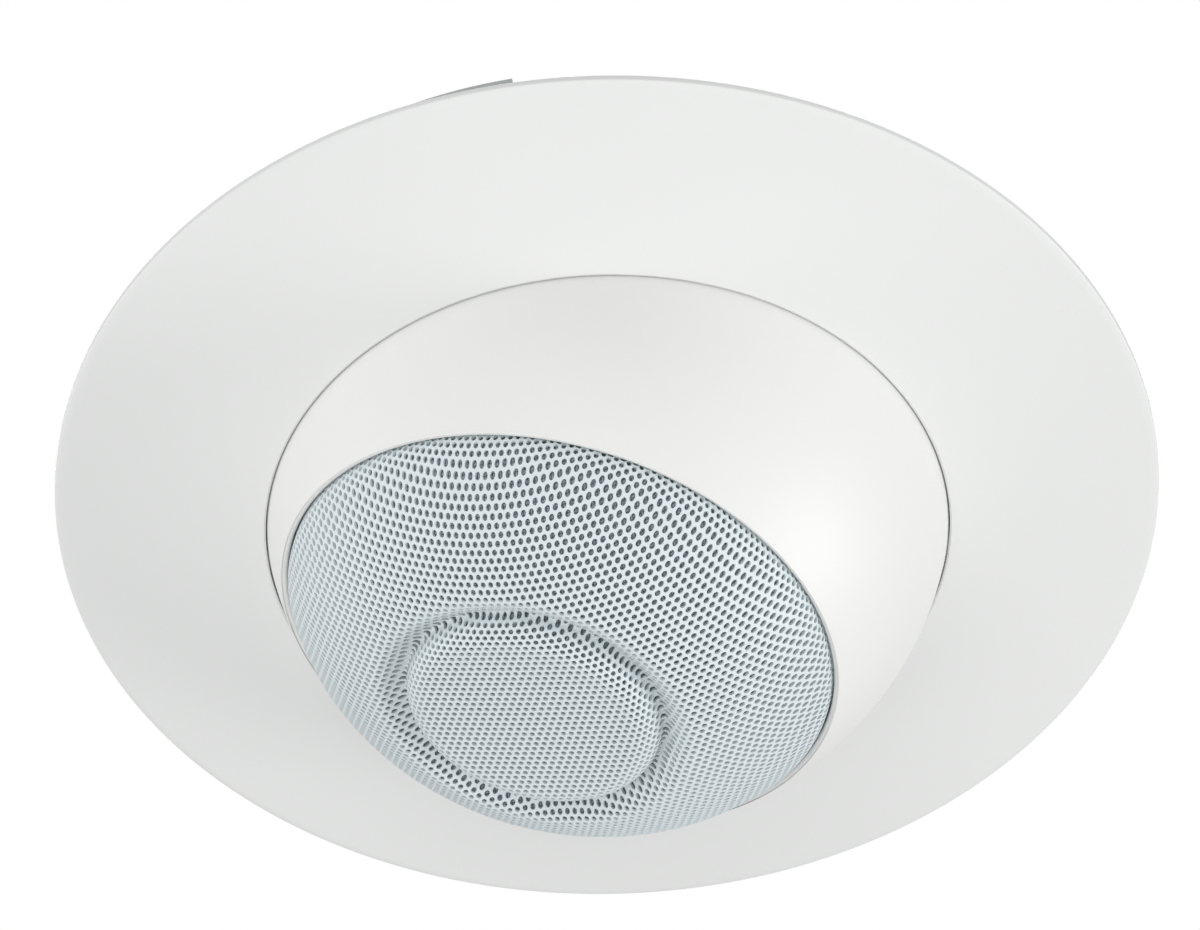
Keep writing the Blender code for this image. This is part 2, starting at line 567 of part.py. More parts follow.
def main():
    """Build every part."""
    clear_scene()
    white = make_material("white_paint", (0.86, 0.87, 0.86), 0.45)
    grille_paint = make_material("grille_paint", (0.70, 0.77, 0.79), 0.5)
    scrim = make_material("scrim_cloth", (0.45, 0.52, 0.56), 0.95)
    grey = make_material("grey_plastic", (0.36, 0.38, 0.40), 0.55)
    dark = make_material("black_plastic", (0.03, 0.03, 0.035), 0.5)
    foam = make_material("foam", (0.09, 0.09, 0.10), 0.95)
    steel = make_material("zinc_steel", (0.62, 0.62, 0.60), 0.35, 1.0)
    cast = make_material("cast_aluminium", (0.50, 0.51, 0.52), 0.45, 1.0)
    brass = make_material("brass", (0.75, 0.58, 0.28), 0.35, 1.0)
    nylon = make_material("nylon", (0.82, 0.80, 0.74), 0.5)
    paper = make_material("cone_paper", (0.05, 0.05, 0.055), 0.8)
    rubber = make_material("surround_rubber", (0.02, 0.02, 0.02), 0.6)
    ferrite = make_material("ferrite", (0.07, 0.07, 0.075), 0.6)
    copper = make_material("copper_wire", (0.72, 0.36, 0.20), 0.35, 1.0)
    spider = make_material("spider_cloth", (0.70, 0.50, 0.24), 0.9)
    silk = make_material("silk_dome", (0.10, 0.10, 0.11), 0.7)
    board = make_material("circuit_board", (0.05, 0.22, 0.10), 0.5)
    ceramic = make_material("ceramic", (0.80, 0.78, 0.72), 0.8)
    wadding = make_material("wadding", (0.85, 0.85, 0.82), 1.0)
    red = make_material("red_plastic", (0.55, 0.03, 0.03), 0.4)

    make_trim_ring(white)
    make_mounting_frame(grey)
    make_frame_gasket(foam)
    make_retaining_ring(grey, steel)
    for number, azimuth in enumerate(azimuths(CLAMP_COUNT, CLAMP_AZIMUTH), 1):
        make_clamp(number, azimuth, steel, brass, grey)
    make_swivel_ring(dark, nylon)

    pivot = empty("ball_pivot", rotation=(0, LEAN, 0))
    make_front_shell(white, pivot)
    make_rear_enclosure(dark, pivot)
    make_pivot_pins(steel, pivot)
    make_assembly_screws(steel, pivot)
    make_grille(grille_paint, scrim, pivot)
    make_basket(cast, pivot)
    make_motor(ferrite, steel, pivot)
    make_cone(paper, rubber, copper, spider, pivot)
    make_tweeter(dark, cast, silk, ferrite, pivot)
    make_crossover(board, copper, dark, ceramic, pivot)
    make_wadding(wadding, pivot)
    make_terminals(dark, red, dark, pivot)


main()
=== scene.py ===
"""Recessed ceiling loudspeaker with a swivelling ball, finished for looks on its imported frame.

Metres, +Z up into the ceiling void. The origin is the ball's centre, on the bezel's axis, in the
plane of the ceiling's underside. Ball parts are drawn upright, aiming along -Z, and then leaned.
Heights in their outlines are measured from the ball's centre towards the room.
"""
import json
import math

import bmesh
import bpy
import numpy as np
from bpy.props import FloatProperty, FloatVectorProperty, IntProperty, PointerProperty
from mathutils import Matrix, Vector
from mathutils.kdtree import KDTree


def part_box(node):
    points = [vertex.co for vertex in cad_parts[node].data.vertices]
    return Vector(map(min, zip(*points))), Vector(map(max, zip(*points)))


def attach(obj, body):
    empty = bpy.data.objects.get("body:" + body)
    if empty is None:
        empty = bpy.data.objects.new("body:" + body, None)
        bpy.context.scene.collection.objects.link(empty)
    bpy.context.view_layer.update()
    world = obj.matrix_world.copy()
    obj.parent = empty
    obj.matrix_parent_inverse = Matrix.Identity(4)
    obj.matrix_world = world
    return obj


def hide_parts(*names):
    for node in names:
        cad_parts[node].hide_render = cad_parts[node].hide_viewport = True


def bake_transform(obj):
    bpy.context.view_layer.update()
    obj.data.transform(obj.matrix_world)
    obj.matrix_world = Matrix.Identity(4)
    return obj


bl_info = {
    "name": "Ceiling loudspeaker",
    "version": (1, 0, 0),
    "blender": (4, 5, 0),
    "location": "3D View > Sidebar > Loudspeaker",
    "description": "Builds the finished pieces of a recessed loudspeaker on its packed frame",
    "category": "Add Mesh",
}

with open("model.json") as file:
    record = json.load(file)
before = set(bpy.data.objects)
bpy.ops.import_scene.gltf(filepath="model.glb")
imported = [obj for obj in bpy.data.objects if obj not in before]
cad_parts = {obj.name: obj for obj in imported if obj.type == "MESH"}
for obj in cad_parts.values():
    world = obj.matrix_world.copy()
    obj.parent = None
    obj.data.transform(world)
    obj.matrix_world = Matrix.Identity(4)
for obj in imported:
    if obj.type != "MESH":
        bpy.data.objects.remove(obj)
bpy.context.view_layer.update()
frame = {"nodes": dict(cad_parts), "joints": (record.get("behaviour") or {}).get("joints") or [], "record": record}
JOINTS = {joint["name"]: joint for joint in frame["joints"]}


def ball_lean():
    """The angle at which the ball leans from straight down, taken from the grille's pull axis."""
    aim = JOINTS["grille_pull"]["axis"]
    return math.atan2(-aim[0], -aim[2])


def ball_radius():
    """The radius of the ball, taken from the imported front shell."""
    mesh = frame["nodes"]["front_shell"].data
    return max(vertex.co.length for vertex in mesh.vertices)


def clamp_axes():
    """Where the four clamp screws stand, as (x, y) points."""
    places = [JOINTS[f"clamp_dog_{number}_swing"]["pos_m"] for number in range(1, 5)]
    return [(place[0], place[1]) for place in places]


LEAN = ball_lean()
TILTED = Matrix.Rotation(LEAN, 4, "Y")
UPRIGHT = Matrix.Identity(4)


# ---------------------------------------------------------------- settings

class SpeakerSizes(bpy.types.PropertyGroup):
    """Sizes of the pieces that show."""

    trim_radius: FloatProperty(
        name="Bezel radius", description="Outer radius of the bezel",
        default=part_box("trim_ring")[1][0], unit="LENGTH")
    trim_hole: FloatProperty(
        name="Bezel hole", description="Radius of the hole that the ball looks through",
        default=0.085, unit="LENGTH")
    trim_depth: FloatProperty(
        name="Bezel depth", description="How far the bezel's hole hangs below the ceiling",
        default=-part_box("trim_ring")[0][2], unit="LENGTH")
    trim_flare: FloatProperty(
        name="Bezel flare", description="How hollow the bezel's face is",
        default=0.0011, unit="LENGTH")
    ball: FloatProperty(
        name="Ball radius", description="Radius of the painted ball",
        default=round(ball_radius(), 5), unit="LENGTH")
    opening: FloatProperty(
        name="Opening radius", description="Radius of the ball's front opening",
        default=0.0698, unit="LENGTH")
    lip: FloatProperty(
        name="Lip radius", description="Rounding of the opening's lip",
        default=0.0010, unit="LENGTH")
    pitch: FloatProperty(
        name="Hole pitch", description="Distance between the grille's holes before it is drawn",
        default=0.00208, unit="LENGTH")
    hole: FloatProperty(
        name="Hole diameter", description="Diameter of the grille's holes",
        default=0.00142, unit="LENGTH")
    sheet: FloatProperty(
        name="Grille thickness", description="Thickness of the perforated sheet",
        default=0.0008, unit="LENGTH")
    row_angle: FloatProperty(
        name="Row angle", description="Direction of the rows of holes",
        default=math.radians(6.35), subtype="ANGLE")
    rings: IntProperty(
        name="Steps round", description="Segments round the bezel and the ball", default=224)


class SpeakerColours(bpy.types.PropertyGroup):
    """Colours of the finishes that show."""

    bezel: FloatVectorProperty(
        name="Bezel paint", description="Satin white on the bezel",
        default=(0.80, 0.81, 0.80), subtype="COLOR")
    ball: FloatVectorProperty(
        name="Ball paint", description="Satin white on the ball",
        default=(0.84, 0.845, 0.83), subtype="COLOR")
    grille: FloatVectorProperty(
        name="Grille paint", description="Pale blue-white on the perforated sheet",
        default=(0.72, 0.79, 0.81), subtype="COLOR")
    cloth: FloatVectorProperty(
        name="Scrim", description="Cloth behind the perforations",
        default=(0.50, 0.58, 0.62), subtype="COLOR")


class SpeakerStage(bpy.types.PropertyGroup):
    """Where the camera stands and how strong the lights are."""

    azimuth: FloatProperty(
        name="Azimuth", description="Camera's direction round the object",
        default=math.radians(21.2), subtype="ANGLE")
    elevation: FloatProperty(
        name="Elevation", description="Camera's angle above the horizon",
        default=math.radians(-47.58), subtype="ANGLE")
    roll: FloatProperty(
        name="Roll", description="Camera's turn about its own axis",
        default=math.radians(-1.43), subtype="ANGLE")
    distance: FloatProperty(
        name="Distance", description="How far away the camera stands", default=6.0, unit="LENGTH")
    width: FloatProperty(
        name="View width", description="Width of the view at the object",
        default=0.2989, unit="LENGTH")
    surround: FloatProperty(
        name="Room light", description="Strength of the even light all round", default=0.52)
    near: FloatProperty(
        name="Near lights", description="Power of each soft light in front, in watts", default=17.0)
    left: FloatProperty(
        name="Left lights", description="Power of each soft light on the left, in watts", default=14.5)
    right: FloatProperty(
        name="Right light", description="Power of the soft light on the right, in watts", default=52.0)
    top: FloatProperty(
        name="Void light", description="Power of the light above the ceiling plane, in watts",
        default=60.0)


# ---------------------------------------------------------------- node trees

class Wire:
    """A node's output, with sums on it written as plain expressions."""

    def __init__(self, tree, socket=None):
        self.tree = tree
        self.socket = socket

    def node(self, kind, settings=None, inputs=None, output=0):
        """Add a node: its type, its settings, then values or wires for its inputs."""
        node = self.tree.nodes.new(kind)
        for name, value in (settings or {}).items():
            setattr(node, name, value)
        for key, value in (inputs or {}).items():
            if isinstance(value, Wire):
                self.tree.links.new(value.socket, node.inputs[key])
            else:
                node.inputs[key].default_value = value
        return Wire(self.tree, node.outputs[output] if node.outputs else None)

    def out(self, name):
        """Another output of the same node."""
        return Wire(self.tree, self.socket.node.outputs[name])

    def maths(self, operation, *values):
        """A Math node on these values."""
        return self.node("ShaderNodeMath", {"operation": operation}, dict(enumerate(values)))

    def __add__(self, other):
        return self.maths("ADD", self, other)

    def __radd__(self, other):
        return self.maths("ADD", other, self)

    def __sub__(self, other):
        return self.maths("SUBTRACT", self, other)

    def __rsub__(self, other):
        return self.maths("SUBTRACT", other, self)

    def __mul__(self, other):
        return self.maths("MULTIPLY", self, other)

    def __rmul__(self, other):
        return self.maths("MULTIPLY", other, self)

    def __truediv__(self, other):
        return self.maths("DIVIDE", self, other)

    def __mod__(self, other):
        return self.maths("FLOORED_MODULO", self, other)

    def __abs__(self):
        return self.put_through("ABSOLUTE")

    def __lt__(self, other):
        return self.maths("LESS_THAN", self, other)

    def __gt__(self, other):
        return self.maths("GREATER_THAN", self, other)

    def put_through(self, operation):
        """A Math node on this value alone."""
        return self.maths(operation, self)

    def sine(self):
        """The sine of the value."""
        return self.put_through("SINE")

    def cosine(self):
        """The cosine of the value."""
        return self.put_through("COSINE")


def axes_of(spot):
    """The x, y and z of a point or direction."""
    split = spot.node("ShaderNodeSeparateXYZ", None, {0: spot})
    return split.out("X"), split.out("Y"), split.out("Z")


def point_of(x, y, z):
    """A point from its x, y and z."""
    return x.node("ShaderNodeCombineXYZ", None, {"X": x, "Y": y, "Z": z})


def mottle(spot, size, detail=2.0, distortion=0.0):
    """Soft noise with patches of a size, from 0 to 1."""
    return spot.node("ShaderNodeTexNoise", None,
                     {"Vector": spot, "Scale": 1 / size, "Detail": detail, "Distortion": distortion})


def pebbles(spot, size):
    """Rounded cells of a size: 0 at each middle and larger towards the edges."""
    return spot.node("ShaderNodeTexVoronoi", None, {"Vector": spot, "Scale": 1 / size})


def blended(share, first, second):
    """One colour turning into another."""
    mix = {"data_type": "RGBA"}
    return share.node("ShaderNodeMix", mix, {0: share, 6: (*first, 1), 7: (*second, 1)}, 2)


def shade(colour, factor):
    """A colour made darker or lighter."""
    return tuple(min(channel * factor, 1.0) for channel in colour)


# ---------------------------------------------------------------- finishes

FINISHES = {}


def make_finish(slot, draw, depth, turned=False, extras=None):
    """A material whose colour, roughness and relief come from draw, for one slot of the record."""
    material = bpy.data.materials.new(f"{slot}_finish")
    material.use_nodes = True
    tree = material.node_tree
    tree.nodes.clear()
    spot = Wire(tree).node("ShaderNodeTexCoord", output="Object")
    if turned:
        spot = spot.node("ShaderNodeMapping", None, {"Vector": spot, "Rotation": (0, -LEAN, 0)})
    colour, roughness, height = draw(spot)
    bump = spot.node("ShaderNodeBump", None, {"Height": height, "Strength": 1.0, "Distance": depth})
    inputs = {"Base Color": colour, "Roughness": roughness, "Normal": bump, **(extras or {})}
    shader = spot.node("ShaderNodeBsdfPrincipled", None, inputs)
    shader.node("ShaderNodeOutputMaterial", None, {"Surface": shader})
    FINISHES[slot] = material


def painted(colour, roughness, peel):
    """Sprayed paint: orange peel of a size, finer grain on it, and faint drifts of tone."""
    def draw(spot):
        skin = mottle(spot, peel, 1.5)
        grit = mottle(spot, peel / 4, 2.0)
        drift = mottle(spot, 0.06, 1.0)
        relief = skin * 0.6 + grit * 0.4
        tone = drift * 0.7 + grit * 0.3
        colours = blended(tone, shade(colour, 0.975), shade(colour, 1.02))
        return colours, roughness + skin * 0.08, relief
    return draw


def moulded(colour, roughness, grain=0.0006):
    """Moulded plastic with a spark-eroded grain and faint flow marks."""
    def draw(spot):
        bumps = pebbles(spot, grain)
        fine = mottle(spot, grain / 2, 2.0)
        flow = mottle(spot, 0.018, 3.0, 1.5)
        relief = bumps * 0.6 + fine * 0.4
        tone = flow * 0.75 + fine * 0.25
        colours = blended(tone, shade(colour, 0.82), shade(colour, 1.18))
        return colours, roughness + flow * 0.12, relief
    return draw


def machined(colour, roughness, line=0.0003):
    """Turned or plated metal: tool rings about the axis, with dulled patches."""
    def draw(spot):
        x, y, z = axes_of(spot)
        away = (x * x + y * y).put_through("SQRT")
        rings = (away * (2 * math.pi / line) + z * (2 * math.pi / line)).sine()
        dull = mottle(spot, 0.004, 3.0, 0.6)
        spots = mottle(spot, 0.0008, 2.0)
        relief = rings * 0.3 + spots * 0.7
        tone = dull * 0.8 + spots * 0.2
        colours = blended(tone, shade(colour, 0.78), shade(colour, 1.15))
        return colours, roughness + dull * 0.2, relief
    return draw


def cast(colour, roughness):
    """Cast or sintered surface: coarse grains with pores."""
    def draw(spot):
        grains = mottle(spot, 0.0012, 4.0)
        pores = pebbles(spot, 0.0021)
        relief = grains * 0.7 + pores * 0.3
        colours = blended(grains, shade(colour, 0.75), shade(colour, 1.25))
        return colours, roughness + grains * 0.15, relief
    return draw


def woven(colour, pitch, roughness, gap_shade=0.55):
    """Plain weave in the x-y plane: threads of a pitch that pass over and under each other."""
    def draw(spot):
        x, y, _ = axes_of(spot)
        across = (x * (math.pi / pitch)).sine()
        along = (y * (math.pi / pitch)).sine()
        over = across * along > 0
        threads = abs(across) * over + abs(along) * (1 - over)
        slubs = mottle(spot, pitch * 5, 3.0)
        # Painted shade: the colour darkens into the gaps between the threads and is lightest on their crowns.
        tone = threads * 0.7 + slubs * 0.3
        colours = blended(tone, shade(colour, gap_shade), shade(colour, 1.2))
        return colours, roughness + slubs * 0.1, threads
    return draw


def wound(colour, pitch):
    """Enamelled wire laid in turns of a pitch about the axis."""
    def draw(spot):
        _, _, z = axes_of(spot)
        turns = abs((z * (math.pi / pitch)).sine())
        enamel = mottle(spot, 0.002, 2.0)
        # Painted shade: the colour darkens into the grooves between turns and is lightest on each turn's crown.
        tone = turns * 0.6 + enamel * 0.4
        colours = blended(tone, shade(colour, 0.45), shade(colour, 1.2))
        return colours, 0.28 + enamel * 0.15, turns
    return draw


def fibrous(colour, size, roughness):
    """Felted or pressed fibres of a size, lying every way."""
    def draw(spot):
        tangle = mottle(spot, size, 5.0, 3.0)
        strands = abs(mottle(spot, size * 0.6, 2.0, 6.0) - 0.5) * 2
        clumps = mottle(spot, size * 9, 2.0)
        relief = tangle * 0.6 + strands * 0.4
        # Partly painted shade: the colour darkens where the fibres lie low, mixed with random clumps of tone.
        tone = relief * 0.7 + clumps * 0.3
        colours = blended(tone, shade(colour, 0.72), shade(colour, 1.2))
        return colours, roughness + tangle * 0.05, relief
    return draw


def foamed(colour, size):
    """Closed-cell foam with cells of a size."""
    def draw(spot):
        bubbles = pebbles(spot, size)
        specks = mottle(spot, size * 3, 2.0)
        # Painted shade and light: each cell is darkest in its sunken middle and lighter towards its raised walls.
        tone = bubbles * 0.7 + specks * 0.3
        colours = blended(tone, shade(colour, 0.6), shade(colour, 1.7))
        return colours, 0.85 + specks * 0.1, bubbles
    return draw


def etched(colour):
    """Solder mask over copper tracks that run in straight lanes."""
    def draw(spot):
        x, y, _ = axes_of(spot)
        lanes = (x * (2 * math.pi / 0.0052)).sine() > 0.35
        gaps = (y * (2 * math.pi / 0.019) + x * 90).sine() > -0.75
        tracks = lanes * gaps
        gloss = mottle(spot, 0.003, 2.0)
        colours = blended(tracks * 0.8 + gloss * 0.2, shade(colour, 0.8), shade(colour, 1.7))
        return colours, 0.3 + gloss * 0.12, tracks
    return draw


def make_finishes(colours):
    """Every finish that the record's slots name."""
    black = (0.018, 0.018, 0.02)
    grey = (0.44, 0.455, 0.46)
    paint = {"IOR": 1.45}
    metal = {"Metallic": 1.0}
    make_finish("trim_paint", painted(tuple(colours.bezel), 0.44, 0.0011), 0.00002, extras=paint)
    make_finish("shell_paint", painted(tuple(colours.ball), 0.40, 0.0008), 0.00003, extras=paint)
    make_finish("grille_paint", painted(tuple(colours.grille), 0.50, 0.0004), 0.00002, extras=paint)
    # Painted shade: the scrim's weave is darkened almost to black in the gaps between its threads, standing in for
    # the shadows seen through the grille's holes.
    make_finish("scrim_cloth", woven(tuple(colours.cloth), 0.0008, 0.85, 0.12), 0.00025, True,
                {"Sheen Weight": 0.15})
    make_finish("grey_plastic", moulded(grey, 0.48), 0.00004)
    make_finish("black_plastic", moulded(black, 0.42), 0.00004, True)
    make_finish("foam", foamed((0.05, 0.05, 0.055), 0.0009), 0.0003)
    make_finish("zinc_steel", machined((0.62, 0.62, 0.60), 0.24), 0.00001, extras=metal)
    make_finish("brass", machined((0.75, 0.55, 0.25), 0.22), 0.00001, extras=metal)
    make_finish("nylon", moulded((0.72, 0.70, 0.62), 0.40, 0.0004), 0.00002,
                extras={"Subsurface Weight": 0.1})
    make_finish("cast_aluminium", cast((0.50, 0.51, 0.52), 0.38), 0.00006, extras=metal)
    make_finish("ferrite", cast((0.045, 0.045, 0.05), 0.50), 0.00005)
    make_finish("cone_paper", fibrous((0.035, 0.035, 0.04), 0.0009, 0.72), 0.00008)
    make_finish("surround_rubber", moulded((0.012, 0.012, 0.012), 0.50, 0.0005), 0.00002)
    make_finish("copper_wire", wound((0.72, 0.33, 0.17), 0.0005), 0.00008, True, metal)
    make_finish("spider_cloth", woven((0.62, 0.40, 0.15), 0.0007, 0.80), 0.0001, True)
    make_finish("silk_dome", woven((0.03, 0.03, 0.035), 0.0003, 0.55, 0.8), 0.00003, True,
                {"Coat Weight": 0.2})
    make_finish("circuit_board", etched((0.02, 0.13, 0.05)), 0.00004, True)
    make_finish("ceramic", cast((0.66, 0.63, 0.56), 0.70), 0.00008)
    make_finish("wadding", fibrous((0.72, 0.72, 0.68), 0.0022, 0.92), 0.0006,
                extras={"Sheen Weight": 0.3})
    make_finish("red_plastic", moulded((0.48, 0.02, 0.02), 0.30, 0.0004), 0.00002)


# ---------------------------------------------------------------- drawing helpers

def mm(points):
    """Points or corners given in millimetres, in metres."""
    return [tuple(number / 1000 for number in point) for point in points]


def rounded(corners, steps=6):
    """Points along a path of (x, y, radius) corners, each corner turned into an arc."""
    points = []
    for index, (x, y, radius) in enumerate(corners):
        if radius == 0 or index in (0, len(corners) - 1):
            points.append((x, y))
            continue
        before = corners[index - 1]
        after = corners[index + 1]
        back = math.atan2(before[1] - y, before[0] - x)
        ahead = math.atan2(after[1] - y, after[0] - x)
        spread = (ahead - back + math.pi) % (2 * math.pi) - math.pi
        reach = radius / math.tan(abs(spread) / 2)
        middle = back + spread / 2
        away = radius / math.sin(abs(spread) / 2)
        centre = (x + away * math.cos(middle), y + away * math.sin(middle))
        start = (x + reach * math.cos(back), y + reach * math.sin(back))
        first = math.atan2(start[1] - centre[1], start[0] - centre[0])
        sweep = math.copysign(math.pi - abs(spread), -spread)
        for step in range(steps + 1):
            angle = first + sweep * step / steps
            points.append((centre[0] + radius * math.cos(angle),
                           centre[1] + radius * math.sin(angle)))
    return points


def smooth_loop(corners, steps=4):
    """A closed outline of (x, y, radius) corners, every corner turned into an arc."""
    wrapped = [corners[-1], *corners, corners[0]]
    points = rounded(wrapped, steps)
    return points[1:-1]


def offset(path, distance):
    """The path moved sideways, to the right of its direction, by a distance."""
    moved = []
    for index, (x, y) in enumerate(path):
        ahead = path[min(index + 1, len(path) - 1)]
        behind = path[max(index - 1, 0)]
        length = math.dist(ahead, behind)
        along = ((ahead[0] - behind[0]) / length, (ahead[1] - behind[1]) / length)
        moved.append((max(x + along[1] * distance, 0.0), y - along[0] * distance))
    return moved


def flipped(profile):
    """The same outline with heights measured towards the room, along -Z."""
    return [(radius, -height) for radius, height in profile]


def lathe(outline, steps):
    """A closed (radius, height) outline turned about Z, with its poles closed."""
    bm = bmesh.new()
    turns = [2 * math.pi * step / steps for step in range(steps)]
    rings = []
    for radius, height in outline:
        if radius < 1e-7:
            rings.append([bm.verts.new((0, 0, height))] * steps)
            continue
        circle = [(radius * math.cos(turn), radius * math.sin(turn), height) for turn in turns]
        rings.append([bm.verts.new(place) for place in circle])
    for ring, after in zip(rings, rings[1:] + rings[:1]):
        for step in range(steps):
            ahead = (step + 1) % steps
            corners = dict.fromkeys((ring[step], ring[ahead], after[ahead], after[step]))
            if len(corners) > 2:
                bm.faces.new(list(corners))
    return bm


def prism(outline, bottom, top):
    """A closed (x, y) outline raised between two heights."""
    bm = bmesh.new()
    face = bm.faces.new([bm.verts.new((x, y, bottom)) for x, y in outline])
    lifted = bmesh.ops.extrude_face_region(bm, geom=[face])
    moved = [item for item in lifted["geom"] if isinstance(item, bmesh.types.BMVert)]
    bmesh.ops.translate(bm, verts=moved, vec=(0, 0, top - bottom))
    return bm


def block(low, high):
    """A block between two corners."""
    return prism([(low[0], low[1]), (high[0], low[1]), (high[0], high[1]), (low[0], high[1])],
                 low[2], high[2])


def rod(radius, bottom, top, x=0.0, y=0.0, steps=24):
    """A cylinder along Z."""
    turn = 2 * math.pi / steps
    outline = [(x + radius * math.cos(turn * step), y + radius * math.sin(turn * step))
               for step in range(steps)]
    return prism(outline, bottom, top)


def sector(inner, outer, first, last, bottom, top, steps=10):
    """A slab between two radii and two azimuths."""
    angles = even(first, last, steps)
    outline = [(outer * math.cos(angle), outer * math.sin(angle)) for angle in angles]
    outline += [(inner * math.cos(angle), inner * math.sin(angle)) for angle in reversed(angles)]
    return prism(outline, bottom, top)


def around(radius, azimuth):
    """The (x, y) point at a radius and azimuth."""
    return radius * math.cos(azimuth), radius * math.sin(azimuth)


def azimuths(count, first):
    """Azimuths spaced evenly round the axis, the first of them in degrees."""
    return [math.radians(first) + 2 * math.pi * index / count for index in range(count)]


def even(first, last, steps):
    """Numbers from the first to the last in even steps."""
    return [first + (last - first) * step / steps for step in range(steps + 1)]


def numbered(name, count):
    """A row of names that end in 1, 2, 3 and so on."""
    return [f"{name}_{number}" for number in range(1, count + 1)]


def corners_of(half_length, half_width, radius):
    """The corners of a rectangle about the axis, each with a radius."""
    return [(half_length, -half_width, radius), (half_length, half_width, radius),
            (-half_length, half_width, radius), (-half_length, -half_width, radius)]


def crosswise(bm, turn=math.pi / 2):
    """The mesh turned from the Z axis to the Y axis."""
    bm.transform(Matrix.Rotation(turn, 4, "X"))
    return bm


def shifted(bm, x, y, z):
    """The mesh moved by x, y and z."""
    bmesh.ops.translate(bm, verts=bm.verts, vec=(x, y, z))
    return bm


def upended(bm, height):
    """The mesh turned to face the room, with its foot at a height."""
    bm.transform(Matrix.Translation((0, 0, height)) @ Matrix.Rotation(math.pi, 4, "X"))
    return bm


def joined(pieces):
    """Several meshes in one."""
    whole = bmesh.new()
    for piece in pieces:
        bmesh.ops.recalc_face_normals(piece, faces=piece.faces)
        mesh = bpy.data.meshes.new("part")
        piece.to_mesh(mesh)
        piece.free()
        whole.from_mesh(mesh)
        bpy.data.meshes.remove(mesh)
    return whole


def scratch_item(bm):
    """A mesh put on a linked object for a modifier to work on."""
    bmesh.ops.recalc_face_normals(bm, faces=bm.faces)
    mesh = bpy.data.meshes.new("scratch")
    bm.to_mesh(mesh)
    bm.free()
    item = bpy.data.objects.new("scratch", mesh)
    bpy.context.scene.collection.objects.link(item)
    return item


def settled(item, *others):
    """The plain mesh that an item's modifiers give; the scratch objects are removed."""
    graph = bpy.context.evaluated_depsgraph_get()
    made = bpy.data.meshes.new_from_object(item.evaluated_get(graph))
    item.modifiers.clear()
    for used in (item, *others):
        bpy.data.objects.remove(used, do_unlink=True)
    bm = bmesh.new()
    bm.from_mesh(made)
    bpy.data.meshes.remove(made)
    return bm


def combined(bm, tools, operation):
    """The mesh with tools cut from it or fused on."""
    item = scratch_item(bm)
    tool = scratch_item(joined(tools))
    modifier = item.modifiers.new("combine", "BOOLEAN")
    modifier.operation = operation
    modifier.solver = "EXACT"
    modifier.object = tool
    return settled(item, tool)


def eased(bm, width):
    """The mesh with its sharp edges rounded over."""
    item = scratch_item(bm)
    modifier = item.modifiers.new("ease", "BEVEL")
    modifier.width = width
    modifier.segments = 2
    modifier.limit_method = "ANGLE"
    modifier.angle_limit = math.radians(38)
    modifier.use_clamp_overlap = True
    return settled(item)


def face_outwards(bm):
    """Turn each closed shell of a mesh so that its faces point outwards."""
    bmesh.ops.recalc_face_normals(bm, faces=bm.faces)
    unseen = set(bm.faces)
    for start in bm.faces:
        if start not in unseen:
            continue
        unseen.remove(start)
        shell = [start]
        for face in shell:
            for edge in face.edges:
                fresh = [other for other in edge.link_faces if other in unseen]
                unseen.difference_update(fresh)
                shell += fresh
        volume = sum(face.calc_area() * face.normal.dot(face.verts[0].co) for face in shell)
        if volume < 0:
            bmesh.ops.reverse_faces(bm, faces=shell)


def make_piece(name, bm, slot, body, nodes=(), turn=UPRIGHT, sharp=35.0):
    """Turn a mesh into a finished piece that rides on a body and stands for CAD nodes."""
    bm.transform(turn)
    face_outwards(bm)
    mesh = bpy.data.meshes.new(name)
    bm.to_mesh(mesh)
    bm.free()
    mesh.materials.clear()
    mesh.materials.append(FINISHES[slot])
    mesh.shade_smooth()
    mesh.set_sharp_from_angle(angle=math.radians(sharp))
    piece = bpy.data.objects.new(name, mesh)
    bpy.context.scene.collection.objects.link(piece)
    if body:
        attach(piece, body)
    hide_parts(*nodes)
    return piece


def turned_piece(name, outline, steps, slot, body, node, sharp=35.0):
    """A finished piece of the leaning ball, turned from an outline, that stands for one CAD node."""
    return make_piece(name, lathe(flipped(outline), steps), slot, body, [node], TILTED, sharp)


# ---------------------------------------------------------------- geometry trees

def new_tree(name, inputs):
    """A Geometry Nodes tree with named inputs, and wires from them."""
    tree = bpy.data.node_groups.new(name, "GeometryNodeTree")
    tree.interface.new_socket("Geometry", in_out="OUTPUT", socket_type="NodeSocketGeometry")
    for label, kind in inputs:
        tree.interface.new_socket(label, in_out="INPUT", socket_type=f"NodeSocket{kind}")
    entry = Wire(tree).node("NodeGroupInput")
    return tree, {label: entry.out(label) for label, _ in inputs}


def end_tree(geometry, finish):
    """Close a tree: instances made real, and the finish set."""
    real = geometry.node("GeometryNodeRealizeInstances", None, {"Geometry": geometry})
    dressed = real.node("GeometryNodeSetMaterial", None, {"Geometry": real, "Material": finish})
    dressed.node("NodeGroupOutput", None, {"Geometry": dressed})


def grown(tree, values):
    """The plain mesh that a tree makes from values for its named inputs."""
    holder = bpy.data.objects.new("holder", bpy.data.meshes.new("holder"))
    bpy.context.scene.collection.objects.link(holder)
    modifier = holder.modifiers.new("grow", "NODES")
    modifier.node_group = tree
    for item in tree.interface.items_tree:
        if item.in_out == "INPUT":
            modifier[item.identifier] = values[item.name]
    return settled(holder)


